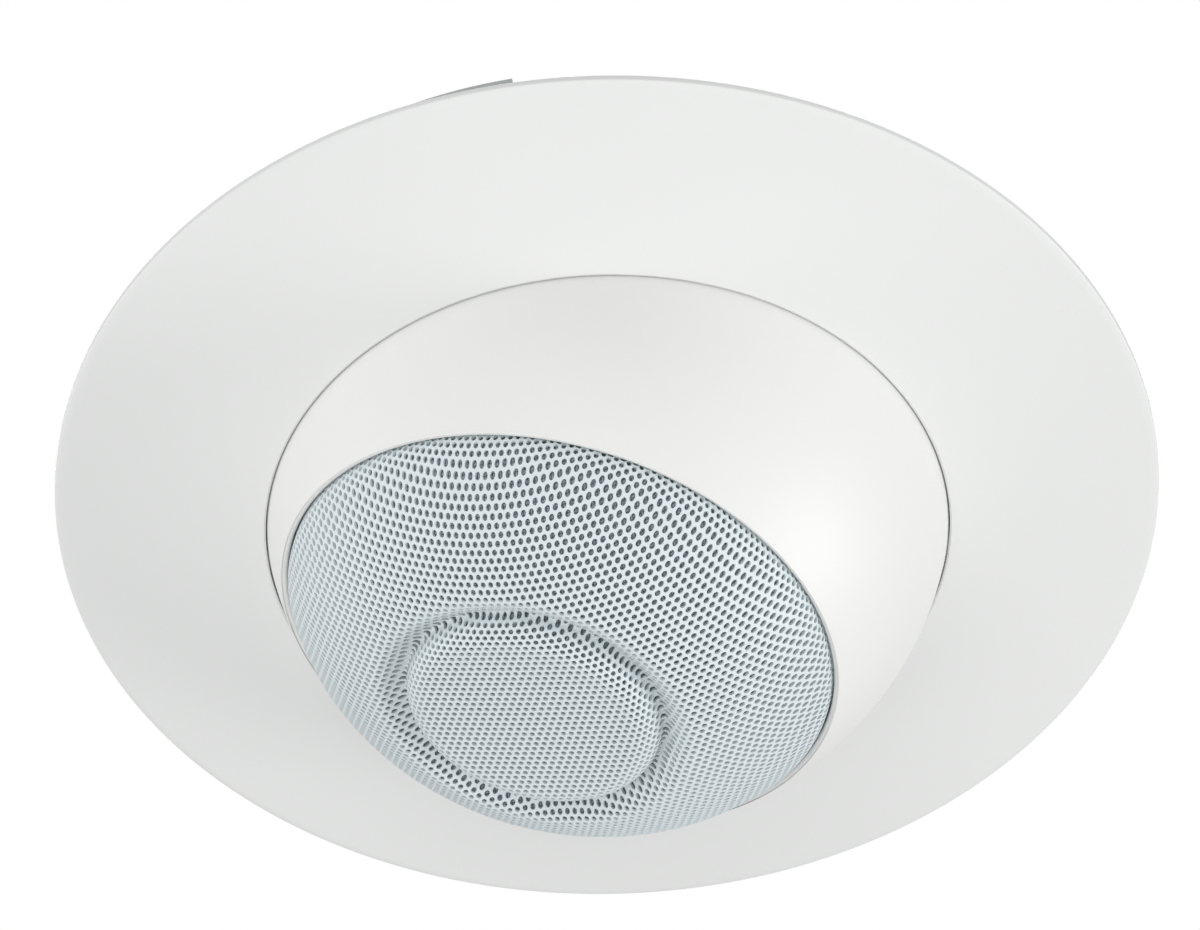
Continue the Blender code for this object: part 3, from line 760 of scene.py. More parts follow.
def perforation_tree():
    """A flat perforated sheet: hexagonal cells with a round hole, in staggered rows."""
    tree, given = new_tree("perforated_sheet", [
        ("Pitch", "Float"), ("Hole", "Float"), ("Thickness", "Float"), ("Rows", "Int"),
        ("Row angle", "Float"), ("Inner radius", "Float"), ("Outer radius", "Float"),
        ("Side", "Float"), ("Finish", "Material")])
    pitch = given["Pitch"]
    rows = given["Rows"]
    start = Wire(tree)
    index = start.node("GeometryNodeInputIndex")
    row = (index / rows).put_through("FLOOR")
    column = index % rows
    x = (column - rows / 2 + (row % 2) * 0.5) * pitch
    y = (row - rows / 2) * pitch * math.sqrt(0.75)
    cosine = given["Row angle"].cosine()
    sine = given["Row angle"].sine()
    across = x * cosine - y * sine
    along = x * sine + y * cosine
    points = start.node("GeometryNodePoints", None,
                        {"Count": rows * rows, "Position": point_of(across, along, 0.0)})
    away = (across * across + along * along).put_through("SQRT")
    other_side = given["Side"] * (along + pitch * 0.01) < 0
    unwanted = (away < given["Inner radius"]) + (away > given["Outer radius"]) + other_side
    kept = points.node("GeometryNodeDeleteGeometry", {"domain": "POINT"},
                       {"Geometry": points, "Selection": unwanted})

    grid = start.node("GeometryNodeMeshGrid", None,
                      {"Size X": 12.0, "Size Y": 3.0, "Vertices X": 13, "Vertices Y": 4}, "Mesh")
    place = start.node("GeometryNodeInputPosition")
    grid_x, grid_y, _ = axes_of(place)
    corner = (grid_x + 6).put_through("ROUND")
    angle = corner * math.radians(30)
    rim = abs(grid_y) < 1
    below = grid_y > 0
    side = pitch * 0.5 + (corner % 2) * pitch * (1 / math.sqrt(3) - 0.5)
    radius = side * (1 - rim) + given["Hole"] * 0.5 * rim
    spot = point_of(radius * angle.cosine(), radius * angle.sine(), below * given["Thickness"] * -1)
    cell = grid.node("GeometryNodeSetPosition", None, {"Geometry": grid, "Position": spot})
    turn = point_of(Wire(tree, given["Row angle"].socket) * 0, 0.0, given["Row angle"])
    placed = kept.node("GeometryNodeInstanceOnPoints", None,
                       {"Points": kept, "Instance": cell, "Rotation": turn})
    end_tree(placed, given["Finish"])
    return tree


def ring_tree():
    """A shape repeated round a circle, facing outwards each time."""
    tree, given = new_tree("ring_of_shapes", [
        ("Shape", "Object"), ("Count", "Int"), ("Circle radius", "Float"),
        ("First angle", "Float"), ("Finish", "Material")])
    start = Wire(tree)
    index = start.node("GeometryNodeInputIndex")
    angle = index / given["Count"] * (2 * math.pi) + given["First angle"]
    radius = given["Circle radius"]
    spot = point_of(radius * angle.cosine(), radius * angle.sine(), 0.0)
    points = start.node("GeometryNodePoints", None, {"Count": given["Count"], "Position": spot})
    shape = start.node("GeometryNodeObjectInfo", None, {"Object": given["Shape"]}, "Geometry")
    turn = point_of(angle * 0, 0.0, angle)
    placed = points.node("GeometryNodeInstanceOnPoints", None,
                         {"Points": points, "Instance": shape, "Rotation": turn})
    end_tree(placed, given["Finish"])
    return tree


def helix_tree():
    """A round wire wound in a helix: a screw's thread or a coil's winding."""
    tree, given = new_tree("helix", [
        ("Turns", "Float"), ("Radius", "Float"), ("Height", "Float"), ("Wire", "Float"),
        ("Finish", "Material")])
    start = Wire(tree)
    path = start.node("GeometryNodeCurveSpiral", None,
                      {"Resolution": 24, "Rotations": given["Turns"],
                       "Start Radius": given["Radius"], "End Radius": given["Radius"],
                       "Height": given["Height"]})
    section = start.node("GeometryNodeCurvePrimitiveCircle", None,
                         {"Resolution": 6, "Radius": given["Wire"]})
    tube = path.node("GeometryNodeCurveToMesh", None,
                     {"Curve": path, "Profile Curve": section, "Fill Caps": True})
    end_tree(tube, given["Finish"])
    return tree


def ring_of(bm, count, radius, first, slot):
    """Copies of a mesh round a circle, made by the ring tree."""
    shape = scratch_item(bm)
    made = grown(ring_tree(), {"Shape": shape, "Count": count, "Circle radius": radius,
                               "First angle": first, "Finish": FINISHES[slot]})
    bpy.data.objects.remove(shape, do_unlink=True)
    return made


def helix(turns, radius, bottom, top, wire, slot):
    """A helix between two heights, made by the helix tree."""
    made = grown(helix_tree(), {"Turns": turns, "Radius": radius, "Height": top - bottom,
                                "Wire": wire, "Finish": FINISHES[slot]})
    return shifted(made, 0, 0, bottom)


# ---------------------------------------------------------------- screws

def screw(head, height, shank, length):
    """A pan-head screw with a cross recess: head above z=0, shank below."""
    dome = rounded([(0, height, 0), (head * 0.72, height, height * 0.6),
                    (head, height * 0.35, height * 0.3), (head, 0, 0)], 4)
    tip = [(shank, 0), (shank, -length * 0.93), (shank * 0.6, -length), (0, -length)]
    body = lathe(dome + tip, 24)
    wide = head * 0.52
    slim = head * 0.15
    gap_shade = height * 0.35
    cross = [block((-wide, -slim, gap_shade), (wide, slim, height * 2)),
             block((-slim, -wide, gap_shade + height * 0.02), (slim, wide, height * 2.1))]
    return combined(body, cross, "DIFFERENCE")


# ---------------------------------------------------------------- bezel

CLAMP_CIRCLE = 0.1085
PEG_AZIMUTHS = azimuths(4, 51.5)
KEEPER_CIRCLE = 0.0977
KEEPER_AZIMUTHS = azimuths(3, 30)
DRIVER_CIRCLE = 0.0620
ENCLOSURE_CIRCLE = 0.0790
BALL_AZIMUTHS = azimuths(4, 45)


def bezel_face(sizes, radius):
    """Height of the bezel's visible face: a shallow cone, slightly hollow like a flare."""
    share = (sizes.trim_radius - radius) / (sizes.trim_radius - sizes.trim_hole)
    rim = 0.0020
    drop = (sizes.trim_depth - rim) * share
    return -rim - drop + sizes.trim_flare * math.sin(math.pi * share)


def build_bezel(sizes):
    """The wide bezel with its four push-fit pegs."""
    outer = sizes.trim_radius
    inner = sizes.trim_hole
    radii = even(outer - 0.0004, inner + 0.0004, 30)
    front = [(radius, bezel_face(sizes, radius)) for radius in radii]
    edge = rounded([(*front[-1], 0), (inner, -sizes.trim_depth, 0.0003),
                    (inner + 0.0002, -sizes.trim_depth + 0.0013, 0.0004),
                    (inner + 0.0009, -sizes.trim_depth + 0.0024, 0)], 5)
    back = [(radius, bezel_face(sizes, radius) + 0.0021) for radius in even(inner + 0.003, 0.1200, 12)]
    near = bezel_face(sizes, 0.1300)
    rim = rounded([(0.1300, near + 0.0013, 0), (0.1345, 0, 0.0004), (outer, 0, 0.0005),
                   (outer, bezel_face(sizes, outer) + 0.0002, 0.0004), (*front[0], 0)], 4)
    body = lathe(front + edge[1:] + back + rim[:-1], sizes.rings)
    pegs = []
    for azimuth in PEG_AZIMUTHS:
        seat = bezel_face(sizes, CLAMP_CIRCLE) + 0.001
        profile = rounded([(0, 0.004, 0), (0.0019, 0.004, 0.0006), (0.0019, seat, 0)], 3)
        pegs.append(shifted(lathe(profile + [(0, seat)], 20), *around(CLAMP_CIRCLE, azimuth), 0))
    body = combined(body, pegs, "UNION")
    make_piece("bezel", body, "trim_paint", "trim", ["trim_ring"])


# ---------------------------------------------------------------- ball

def build_ball(sizes):
    """The painted front of the ball: sphere, rounded lip, throat and driver shelf."""
    radius = sizes.ball
    seam = 0.0220
    last = radius * math.cos(math.asin((sizes.opening + 0.0014) / radius))
    angles = even(math.asin(-seam / radius), math.asin(last / radius), 44)
    outer = [around(radius, angle) for angle in angles]
    corner = math.sqrt(radius ** 2 - sizes.opening ** 2)
    lip = rounded([(*outer[-1], 0), (sizes.opening, corner, sizes.lip),
                   (sizes.opening, 0.0417, 0.0004), (0.0575, 0.0417, 0.0003), (0.0575, 0.0385, 0)], 6)
    wall = 0.003
    turns = even(math.asin(0.0385 / (radius - wall)), math.asin((wall - seam) / (radius - wall)), 16)
    inner = [around(radius - wall, turn) for turn in turns]
    flange = [(0.0720, wall - seam), (0.0720, -seam)]
    body = lathe(flipped(outer + lip[1:] + inner + flange), sizes.rings)
    holes = [crosswise(rod(0.0032, -0.1, 0.1))]
    for azimuth in BALL_AZIMUTHS:
        holes.append(rod(0.0018, -0.0440, -0.0360, *around(DRIVER_CIRCLE, azimuth), steps=16))
        holes.append(rod(0.0018, 0.0160, 0.0240, *around(ENCLOSURE_CIRCLE, azimuth), steps=16))
    body = combined(body, holes, "DIFFERENCE")
    make_piece("ball_front", body, "shell_paint", "ball", ["front_shell"], TILTED)


# ---------------------------------------------------------------- grille

GROOVE_START = 0.0270
GROOVE_END = 0.0425
GROOVE_FLOOR = 0.0723
GROOVE_TOP = 0.0780
DOME_START = 0.0420
DRAW = 12.9
DRAW_AT_GROOVE = 0.0014
EDGE_START = 0.0675
EDGE_STRETCH = 1.18


def dome_height(sizes, radius):
    """Height of the grille's dome: it bulges past the ball and dips under the opening's lip."""
    share = (radius - 0.0380) / (0.0693 - 0.0380)
    dip = max(radius - 0.0600, 0) / 0.0090
    rise = 0.0013 * math.sin(math.pi * share) - 0.0013 * dip ** 2
    return math.sqrt(sizes.ball ** 2 - radius ** 2) + rise


def grille_path(sizes):
    """Outline of the grille's face from its centre out: disc, V groove, dome and turned edge."""
    disc = mm([(0, 80, 0), (31.1, 79.4, 6.2), (32.9, 72.3, 0.7), (39.5, 76.8, 4.2)])
    start = 0.0430
    path = rounded([*disc, (start, dome_height(sizes, start), 0)], 14)
    path = [(path[1][0] * step / 10, path[0][1] + (path[1][1] - path[0][1]) * (step / 10) ** 1.6)
            for step in range(10)] + path[1:]
    edge = sizes.opening - 0.0021
    side = sizes.opening - 0.0004
    path += [(radius, dome_height(sizes, radius)) for radius in even(start, edge, 24)[1:]]
    slope = (dome_height(sizes, edge) - dome_height(sizes, edge - 0.001)) / 0.001
    corner = dome_height(sizes, edge) + slope * (side - edge)
    turned = rounded([(*path[-1], 0), (side, corner, 0.0045), (side, 0.0430, 0)], 7)
    return path + turned[1:]


def drawn_position(sizes):
    """How far along the grille's outline a point of the flat sheet ends up, as a pair of tables."""
    path = np.array(grille_path(sizes))
    steps = np.hypot(*np.diff(path, axis=0).T)
    along = np.concatenate([[0], np.cumsum(steps)])
    fine = np.linspace(0, along[-1], 4000)
    radius = np.interp(fine, along, path[:, 0])
    height = np.interp(fine, along, path[:, 1])
    extra = DRAW_AT_GROOVE * np.clip(1 - (radius - DOME_START) / 0.0250, 0, 1)
    flat = radius * (1 + DRAW * radius ** 2) + np.where(radius > DOME_START, extra, 0)
    groove = (radius > GROOVE_START) & (radius < GROOVE_END) & (fine < 0.06)
    first, last = np.flatnonzero(groove)[[0, -1]]
    share = np.clip((height[first:last] - GROOVE_FLOOR) / (GROOVE_TOP - GROOVE_FLOOR), 0, 1)
    pull = np.cumsum(0.33 + 0.67 * share)
    flat[first:last] = flat[first] + (flat[last] - flat[first]) * pull / pull[-1]
    turn = int(np.argmax(radius > EDGE_START))
    flat[turn:] = flat[turn] + (fine[turn:] - fine[turn]) / EDGE_STRETCH
    return flat, fine, radius, height


def bend_to_dome(bm, sizes):
    """Press a flat perforated sheet into the grille's shape."""
    flat, along, radius, height = drawn_position(sizes)
    places = np.array([vertex.co for vertex in bm.verts])
    away = np.hypot(places[:, 0], places[:, 1])
    where = np.interp(away, flat, along)
    gap = 0.0002
    ahead = np.minimum(where + gap, along[-1])
    behind = np.maximum(where - gap, 0)
    slope_r = np.interp(ahead, along, radius) - np.interp(behind, along, radius)
    slope_h = np.interp(ahead, along, height) - np.interp(behind, along, height)
    length = np.hypot(slope_r, slope_h)
    depth = -places[:, 2]
    new_radius = np.interp(where, along, radius) + slope_h / length * depth
    new_height = np.interp(where, along, height) - slope_r / length * depth
    scale = new_radius / np.maximum(away, 1e-9)
    for vertex, grow, rise in zip(bm.verts, scale, new_height):
        vertex.co = (vertex.co.x * grow, vertex.co.y * grow, -rise)


def close_rim(bm, thickness):
    """Join the front and back of a flat sheet along its open edge."""
    under = [vertex for vertex in bm.verts if vertex.co.z < -thickness / 2]
    tree = KDTree(len(under))
    for index, vertex in enumerate(under):
        tree.insert((vertex.co.x, vertex.co.y, 0), index)
    tree.balance()
    rim = [edge for edge in bm.edges
           if edge.is_boundary and all(vertex.co.z > -thickness / 2 for vertex in edge.verts)]
    for edge in rim:
        first, second = edge.verts
        low = [under[tree.find((vertex.co.x, vertex.co.y, 0))[1]] for vertex in (second, first)]
        bm.faces.new((first, second, *low))


def build_grille(sizes):
    """The perforated grille in three pieces, and the plain skirt that plugs into the ball."""
    tree = perforation_tree()
    values = {"Pitch": sizes.pitch, "Hole": sizes.hole, "Thickness": sizes.sheet, "Rows": 88,
              "Row angle": sizes.row_angle, "Finish": FINISHES["grille_paint"]}
    split = 0.0360
    outer = 0.0768
    parts = [("grille_disc", 0.0, split, 0.0), ("grille_dome_left", split, outer, 1.0),
             ("grille_dome_right", split, outer, -1.0)]
    for name, low, high, side in parts:
        bm = grown(tree, {**values, "Inner radius": low, "Outer radius": high, "Side": side})
        bmesh.ops.remove_doubles(bm, verts=bm.verts, dist=0.00001)
        close_rim(bm, sizes.sheet)
        bend_to_dome(bm, sizes)
        nodes = ["grille"] if side == 0 else []
        make_piece(name, bm, "grille_paint", "grille", nodes, TILTED)
    band = mm([(69.35, 46.6), (69.5, 46.4), (69.5, 42.8), (69.35, 42.6), (68.4, 42.6), (68.4, 46.6)])
    make_piece("grille_skirt", lathe(flipped(band), sizes.rings), "grille_paint", "grille", [], TILTED)


def build_scrim(sizes):
    """The scrim cloth, stretched close behind the perforations."""
    face = [*grille_path(sizes)[:-1], (0.0689, 0.0455)]
    near = offset(face, 0.0014)
    far = offset(face, 0.00165)
    cloth = make_piece("grille_cloth", lathe(flipped(near + far[::-1]), 144), "scrim_cloth",
                       "grille", ["grille_scrim"], TILTED, 60.0)


# ---------------------------------------------------------------- mounting ring and clamps

def build_mounting():
    """The ring that the ceiling clamps hold, its gasket, and the keeper over the swivel."""
    profile = smooth_loop(mm([
        (91.5, -10.5, 0.3), (103.2, -7.6, 0.5), (103.2, -2.6, 0.6), (124, -2.6, 0.4), (124, -1.2, 0.4),
        (103, -1.2, 0.8), (103, 30, 0.6), (100, 30, 0.6), (100, 10.7, 0.3), (95.5, 10.7, 0.4),
        (95.5, -8.5, 0.3), (91.5, -8.5, 0.3)]), 3)
    profile = [(radius - 0.0002 if height < -0.003 and radius > 0.1 else radius, height)
               for radius, height in profile]
    body = lathe(profile, 144)
    blocks = []
    cuts = []
    for x, y in clamp_axes():
        azimuth = math.atan2(y, x)
        first = azimuth - 0.0260 / CLAMP_CIRCLE
        last = azimuth + 0.0080 / CLAMP_CIRCLE
        blocks.append(sector(0.1015, 0.1150, first, last, -0.0022, 0.0270))
        wall = 0.0018 / CLAMP_CIRCLE
        cuts.append(sector(0.1036, 0.1200, first + wall, last - wall, -0.0008, 0.0245))
        cuts.append(rod(0.0025, -0.0100, 0.0400, x, y))
    for azimuth in PEG_AZIMUTHS:
        cuts.append(rod(0.0023, -0.0080, 0.0040, *around(CLAMP_CIRCLE, azimuth)))
    for azimuth in KEEPER_AZIMUTHS:
        cuts.append(rod(0.0013, 0.0040, 0.0150, *around(KEEPER_CIRCLE, azimuth), steps=16))
    body = combined(body, blocks, "UNION")
    body = combined(body, cuts, "DIFFERENCE")
    make_piece("mounting_ring", body, "grey_plastic", "frame", ["mounting_frame"])
    gusset = prism(mm([(102.8, -1.4), (110, -1.4), (110, -0.4), (103.4, 8), (102.8, 8)]),
                   -0.0007, 0.0007)
    ribs = ring_of(crosswise(gusset), 48, 0.0, math.radians(1.0), "grey_plastic")
    keep_ribs(ribs)
    make_piece("mounting_gussets", ribs, "grey_plastic", "frame")
    foam = smooth_loop(mm([(116, -0.9, 0.25), (124, -0.9, 0.4), (124, 0, 0.4), (116, 0, 0.25)]), 3)
    gasket = make_piece("flange_gasket", lathe(foam, 144), "foam", "frame", ["frame_gasket"])
    keeper = smooth_loop(mm([(90, 11, 0.3), (99.7, 11, 0.3), (99.7, 12.8, 0.4), (90, 12.8, 0.4)]), 3)
    holes = [rod(0.0012, 0.0100, 0.0140, *around(KEEPER_CIRCLE, azimuth), steps=16)
             for azimuth in KEEPER_AZIMUTHS]
    ring = combined(lathe(keeper, 144), holes, "DIFFERENCE")
    make_piece("keeper_ring", ring, "grey_plastic", "frame", ["retaining_ring"])
    small = shifted(screw(0.0017, 0.0014, 0.0009, 0.0070), 0, 0, 0.0131)
    screws = ring_of(small, 3, KEEPER_CIRCLE, KEEPER_AZIMUTHS[0], "zinc_steel")
    make_piece("keeper_screws", screws, "zinc_steel", "frame", numbered("retaining_screw", 3))


def keep_ribs(bm):
    """Drop the ribs that would stand in a clamp tower, a clamp's swing or a peg's hole."""
    busy = [(math.atan2(y, x), 0.30, 0.10) for x, y in clamp_axes()]
    busy += [(peg, 0.045, 0.045) for peg in PEG_AZIMUTHS]
    unwanted = set()
    for vertex in bm.verts:
        azimuth = math.atan2(vertex.co.y, vertex.co.x)
        for middle, before, after in busy:
            away = (azimuth - middle + math.pi) % (2 * math.pi) - math.pi
            if -before < away < after:
                unwanted.add(vertex)
    stack = list(unwanted)
    while stack:
        vertex = stack.pop()
        for edge in vertex.link_edges:
            other = edge.other_vert(vertex)
            if other not in unwanted:
                unwanted.add(other)
                stack.append(other)
    bmesh.ops.delete(bm, geom=[vertex for vertex in bm.verts if vertex in unwanted], context="VERTS")


def build_clamps():
    """Four clamps, each a threaded screw, the sleeve nut on it and the arm that swings out."""
    for number, (x, y) in enumerate(clamp_axes(), 1):
        place = Matrix.Translation((x, y, 0)) @ Matrix.Rotation(math.atan2(y, x), 4, "Z")
        bolt = upended(screw(0.0034, 0.0014, 0.0019, 0.0300), -0.0029)
        thread = helix(14, 0.00182, 0.0035, 0.0259, 0.00042, "zinc_steel")
        make_piece(f"clamp_bolt_{number}", joined([bolt, thread]), "zinc_steel",
                   f"clamp_screw_{number}", [f"clamp_screw_{number}"], place)
        sleeve = lathe(smooth_loop(mm([(2.3, 15.5, 0.15), (3.2, 15.5, 0.25), (3.2, 24.2, 0.25),
                                       (2.3, 24.2, 0.15)]), 3), 32)
        make_piece(f"clamp_sleeve_{number}", sleeve, "brass", f"clamp_nut_{number}",
                   [f"clamp_nut_{number}"], place)
        outline = rounded(mm([(4, 0, 0), (4, -22, 2.2), (-4, -22, 2.2), (-4, 0, 0)]), 6)
        arm = prism(outline, 0.0185, 0.0240)
        foot = block(*mm([(-3.5, -21.5, 16), (3.5, -11, 20)]))
        groove = block(*mm([(-2.2, -9.6, 22.6), (2.2, -6.0, 30)]))
        arm = combined(arm, [foot], "UNION")
        arm = combined(arm, [rod(0.0046, 0.0180, 0.0238, steps=40)], "UNION")
        teeth = [block((-0.004, -0.0202 + step * 0.0024, 0.0155),
                       (0.004, -0.0193 + step * 0.0024, 0.0164)) for step in range(4)]
        arm = combined(arm, [rod(0.0035, 0.0100, 0.0300, steps=32), groove, *teeth], "DIFFERENCE")
        make_piece(f"clamp_arm_{number}", eased(arm, 0.0003), "grey_plastic", f"clamp_dog_{number}",
                   [f"clamp_dog_{number}"], place)


# ---------------------------------------------------------------- swivel

def build_swivel():
    """The ring that pans in the frame, its two bushes, and the pins that the ball tilts on."""
    profile = smooth_loop(mm([
        (89, -8.2, 0.5), (95, -8.2, 0.4), (95, -3.6, 0.2), (94.4, -3.2, 0.2), (94.4, 5.6, 0.2),
        (95, 6, 0.2), (95, 10.7, 0.4), (89, 10.7, 0.5)]), 3)
    ring = combined(lathe(profile, 160), [crosswise(rod(0.0058, -0.11, 0.11, steps=40))], "DIFFERENCE")
    make_piece("swivel_hoop", ring, "black_plastic", "swivel", ["swivel_ring"])
    bush = smooth_loop(mm([(3.2, 89.5, 0.2), (5.5, 89.5, 0.4), (5.5, 94.2, 0.3), (3.2, 94.2, 0.2)]), 3)
    pin = rounded(mm([(0, 79.6, 0), (5.8, 79.6, 0.6), (5.8, 82, 0.2), (2.9, 82, 0.1), (2.9, 94.3, 0.4),
                      (0, 94.3, 0)]), 4)
    for side, turn in (("left", math.pi / 2), ("right", -math.pi / 2)):
        make_piece(f"bush_{side}", crosswise(lathe(bush, 40), turn), "nylon", "swivel",
                   [f"pivot_bush_{side}"])
        make_piece(f"pin_{side}", crosswise(lathe(pin, 40), turn), "zinc_steel", "ball",
                   [f"pivot_pin_{side}"])


# ---------------------------------------------------------------- enclosure

def build_enclosure():
    """The stepped cup that closes the ball's back, with its ribs and screws."""
    outer = rounded(mm([(0, 61.5, 0), (50, 61.5, 3), (60, 56.5, 3), (70, 45, 5), (74.5, 30, 3),
                        (74.5, 25.3, 0.6), (83, 25.3, 0.6), (83, 22.3, 0)]), 5)
    inner = rounded(mm([(72, 22.3, 0), (72, 30, 2), (67.7, 44, 3), (58.5, 54.3, 3), (49, 59, 3),
                        (0, 59, 0)]), 4)
    cup = lathe(outer + inner, 144)
    holes = [block((-0.0218, -0.0168, 0.0400), (0.0218, 0.0168, 0.0700))]
    holes += [rod(0.0019, 0.0210, 0.0300, *around(ENCLOSURE_CIRCLE, azimuth))
              for azimuth in BALL_AZIMUTHS]
    cup = combined(cup, holes, "DIFFERENCE")
    make_piece("ball_back", cup, "black_plastic", "ball", ["rear_enclosure"], TILTED)
    rib = prism(mm([(72.5, 25), (76.4, 25), (76.4, 26.6), (74.6, 31), (70.4, 45.6), (60.4, 57),
                    (58, 56)]), -0.0008, 0.0008)
    ribs = ring_of(crosswise(rib), 24, 0.0, math.radians(7.5), "black_plastic")
    make_piece("ball_back_ribs", ribs, "black_plastic", "ball", [], TILTED)
    bolt = shifted(screw(0.0028, 0.0016, 0.0014, 0.0090), 0, 0, 0.0256)
    bolts = ring_of(bolt, 4, ENCLOSURE_CIRCLE, BALL_AZIMUTHS[0], "zinc_steel")
    make_piece("enclosure_bolts", bolts, "zinc_steel", "ball", numbered("enclosure_screw", 4), TILTED)


def build_terminals():
    """The recessed cup for the cable's ends, and its two push tabs."""
    case = block((-0.0215, -0.0165, 0.0470), (0.0215, 0.0165, 0.0625))
    flange = prism(smooth_loop(corners_of(0.0240, 0.0190, 0.003), 6), 0.0618, 0.0633)
    recess = prism(smooth_loop(corners_of(0.0200, 0.0150, 0.002), 5), 0.0485, 0.0700)
    case = combined(combined(case, [flange], "UNION"), [recess], "DIFFERENCE")
    make_piece("cable_cup", eased(case, 0.0003), "black_plastic", "ball", ["terminal_cup"], TILTED)
    for colour, x in (("red", -0.0100), ("black", 0.0100)):
        low = 0.0518
        outline = smooth_loop(mm([(-4.5, 12, 0.5), (-4.5, 1, 1.6), (4.5, 1, 1.6), (4.5, 12, 0.5)]), 5)
        tab = prism([(x + px, py) for px, py in outline], low, low + 0.0080)
        grooves = [block((x - 0.006, 0.0024 + step * 0.0016, low + 0.0074),
                         (x + 0.006, 0.0031 + step * 0.0016, low + 0.0090)) for step in range(5)]
        tab = eased(combined(tab, grooves, "DIFFERENCE"), 0.0002)
        make_piece(f"push_tab_{colour}", tab, f"{colour}_plastic", f"tab_{colour}",
                   [f"terminal_tab_{colour}"], TILTED)


# ---------------------------------------------------------------- woofer


def build_woofer():
    """The cone driver: its basket and screws, and the motor and cone in it."""
    profile = rounded(mm([
        (66.5, 44.5, 0), (55.2, 44.5, 0.8), (53, 37, 2), (36.2, 10.6, 1.5), (16, 10.6, 0.3),
        (16, 8.6, 0.3), (37.8, 8.6, 1.5), (55.3, 36.2, 2), (56.8, 42, 0.8), (66.5, 42, 0)]), 4)
    basket = lathe(flipped(profile), 96)
    cuts = []
    half = math.radians(30)
    for azimuth in BALL_AZIMUTHS:
        cuts.append(sector(0.0300, 0.0600, azimuth - half, azimuth + half, -0.0340, -0.0150, 12))
        cuts.append(rod(0.0018, -0.0480, -0.0400, *around(DRIVER_CIRCLE, azimuth), steps=16))
    basket = combined(basket, cuts, "DIFFERENCE")
    make_piece("driver_basket", basket, "cast_aluminium", "ball", ["woofer_basket"], TILTED)
    bolt = upended(screw(0.0030, 0.0016, 0.0014, 0.0080), -0.0448)
    bolts = ring_of(bolt, 4, DRIVER_CIRCLE, BALL_AZIMUTHS[0], "zinc_steel")
    make_piece("driver_bolts", bolts, "zinc_steel", "ball", numbered("driver_screw", 4), TILTED)
    build_motor()
    build_cone()


def build_motor():
    """The motor's front plate, ring magnet, and back plate with its pole."""
    plate = smooth_loop(mm([(14.6, 2.3, 0.3), (34, 2.3, 0.4), (34, 8.3, 0.6), (14.6, 8.3, 0.3)]), 3)
    turned_piece("motor_front_plate", plate, 96, "zinc_steel", "ball", "woofer_top_plate")
    magnet = smooth_loop(mm([(18, -14, 0.6), (35, -14, 0.9), (35, 2, 0.9), (18, 2, 0.6)]), 3)
    turned_piece("motor_magnet", magnet, 96, "ferrite", "ball", "woofer_magnet")
    plate = rounded(mm([(0, 8.3, 0), (12.2, 8.3, 0.4), (12.2, -14.3, 0.6), (35, -14.3, 0.6),
                        (35, -19.5, 0.8), (10, -19.5, 0.5), (10, -21.5, 0.5), (0, -21.5, 0)]), 3)
    turned_piece("motor_back_plate", plate, 96, "zinc_steel", "ball", "woofer_back_plate")


def build_cone():
    """What moves in and out: cone and coil, and the surround and spider that carry them."""
    rim = rounded(mm([(50.5, 41.2, 0), (34, 30, 18), (14.2, 19, 0)]), 8)
    back = offset(rim, -0.0010)
    turned_piece("cone", rim + back[::-1], 128, "cone_paper", "cone", "woofer_cone")
    former = lathe(flipped(mm([(13.1, -4), (13.35, -4), (13.35, 19.9), (13.1, 19.9)])), 64)
    wire = helix(24, 0.01355, -0.0060, 0.0038, 0.00021, "copper_wire")
    make_piece("coil", joined([former, wire]), "copper_wire", "cone", ["voice_coil"], TILTED)

    roll = rounded(mm([(58.5, 44.8, 0), (56, 44.8, 0.4), (56.2, 49.2, 2.2), (51.3, 49.2, 2.2),
                       (51.1, 41.6, 0.3), (48.5, 40.9, 0)]), 8)
    surround = offset(roll, 0.0006) + roll[::-1]
    edge = turned_piece("cone_surround", surround, 128, "surround_rubber", None, "woofer_surround")
    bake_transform(edge)
    waves = []
    for share in even(0.0, 1.0, 60):
        radius = 0.0340 - 0.0198 * share
        ease = min(1.0, 6 * share, 6 * (1 - share))
        swing = 0.0009 * math.sin(share * 8 * math.pi) * ease
        waves.append((radius, 0.0112 + 0.0020 * share + swing))
    spider = [(r, h + 0.0002) for r, h in waves] + [(r, h - 0.0002) for r, h in waves[::-1]]
    rings = turned_piece("cone_spider", spider, 96, "spider_cloth", None, "woofer_spider")
    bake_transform(rings)


def build_tweeter():
    """The tweeter on its post: housing, magnet, ring and dome."""
    housing = rounded(mm([(0, 52, 0), (20, 52, 3), (26, 56, 2.5), (26, 66, 0.4), (24, 66, 0.4),
                          (24, 57, 1), (19, 54, 1), (0, 54, 0)]), 4)
    turned_piece("tweeter_case", housing, 96, "black_plastic", "ball", "tweeter_housing")
    magnet = rounded(mm([(0, 54.3, 0), (16, 54.3, 0.6), (16, 62.5, 0.6), (0, 62.5, 0)]), 3)
    turned_piece("tweeter_core", magnet, 64, "ferrite", "ball", "tweeter_magnet")
    plate = smooth_loop(mm([(13.1, 66.3, 0.2), (27, 66.3, 0.3), (27, 67.5, 0.4), (20, 69, 4),
                            (13.1, 68, 0.3)]), 4)
    turned_piece("tweeter_ring", plate, 96, "black_plastic", "ball", "tweeter_faceplate")
    bulge = 0.0170
    sink = 0.0715 - bulge
    angles = even(math.acos(0.0125 / bulge), math.pi / 2, 12)
    cap = [(bulge * math.cos(angle), bulge * math.sin(angle) + sink) for angle in angles]
    cap[-1] = (0.0, cap[-1][1])
    lining = [(radius * 0.97, height - 0.0004) for radius, height in reversed(cap)]
    turned_piece("tweeter_cap", cap + lining, 64, "silk_dome", "tweeter_dome", "tweeter_dome")


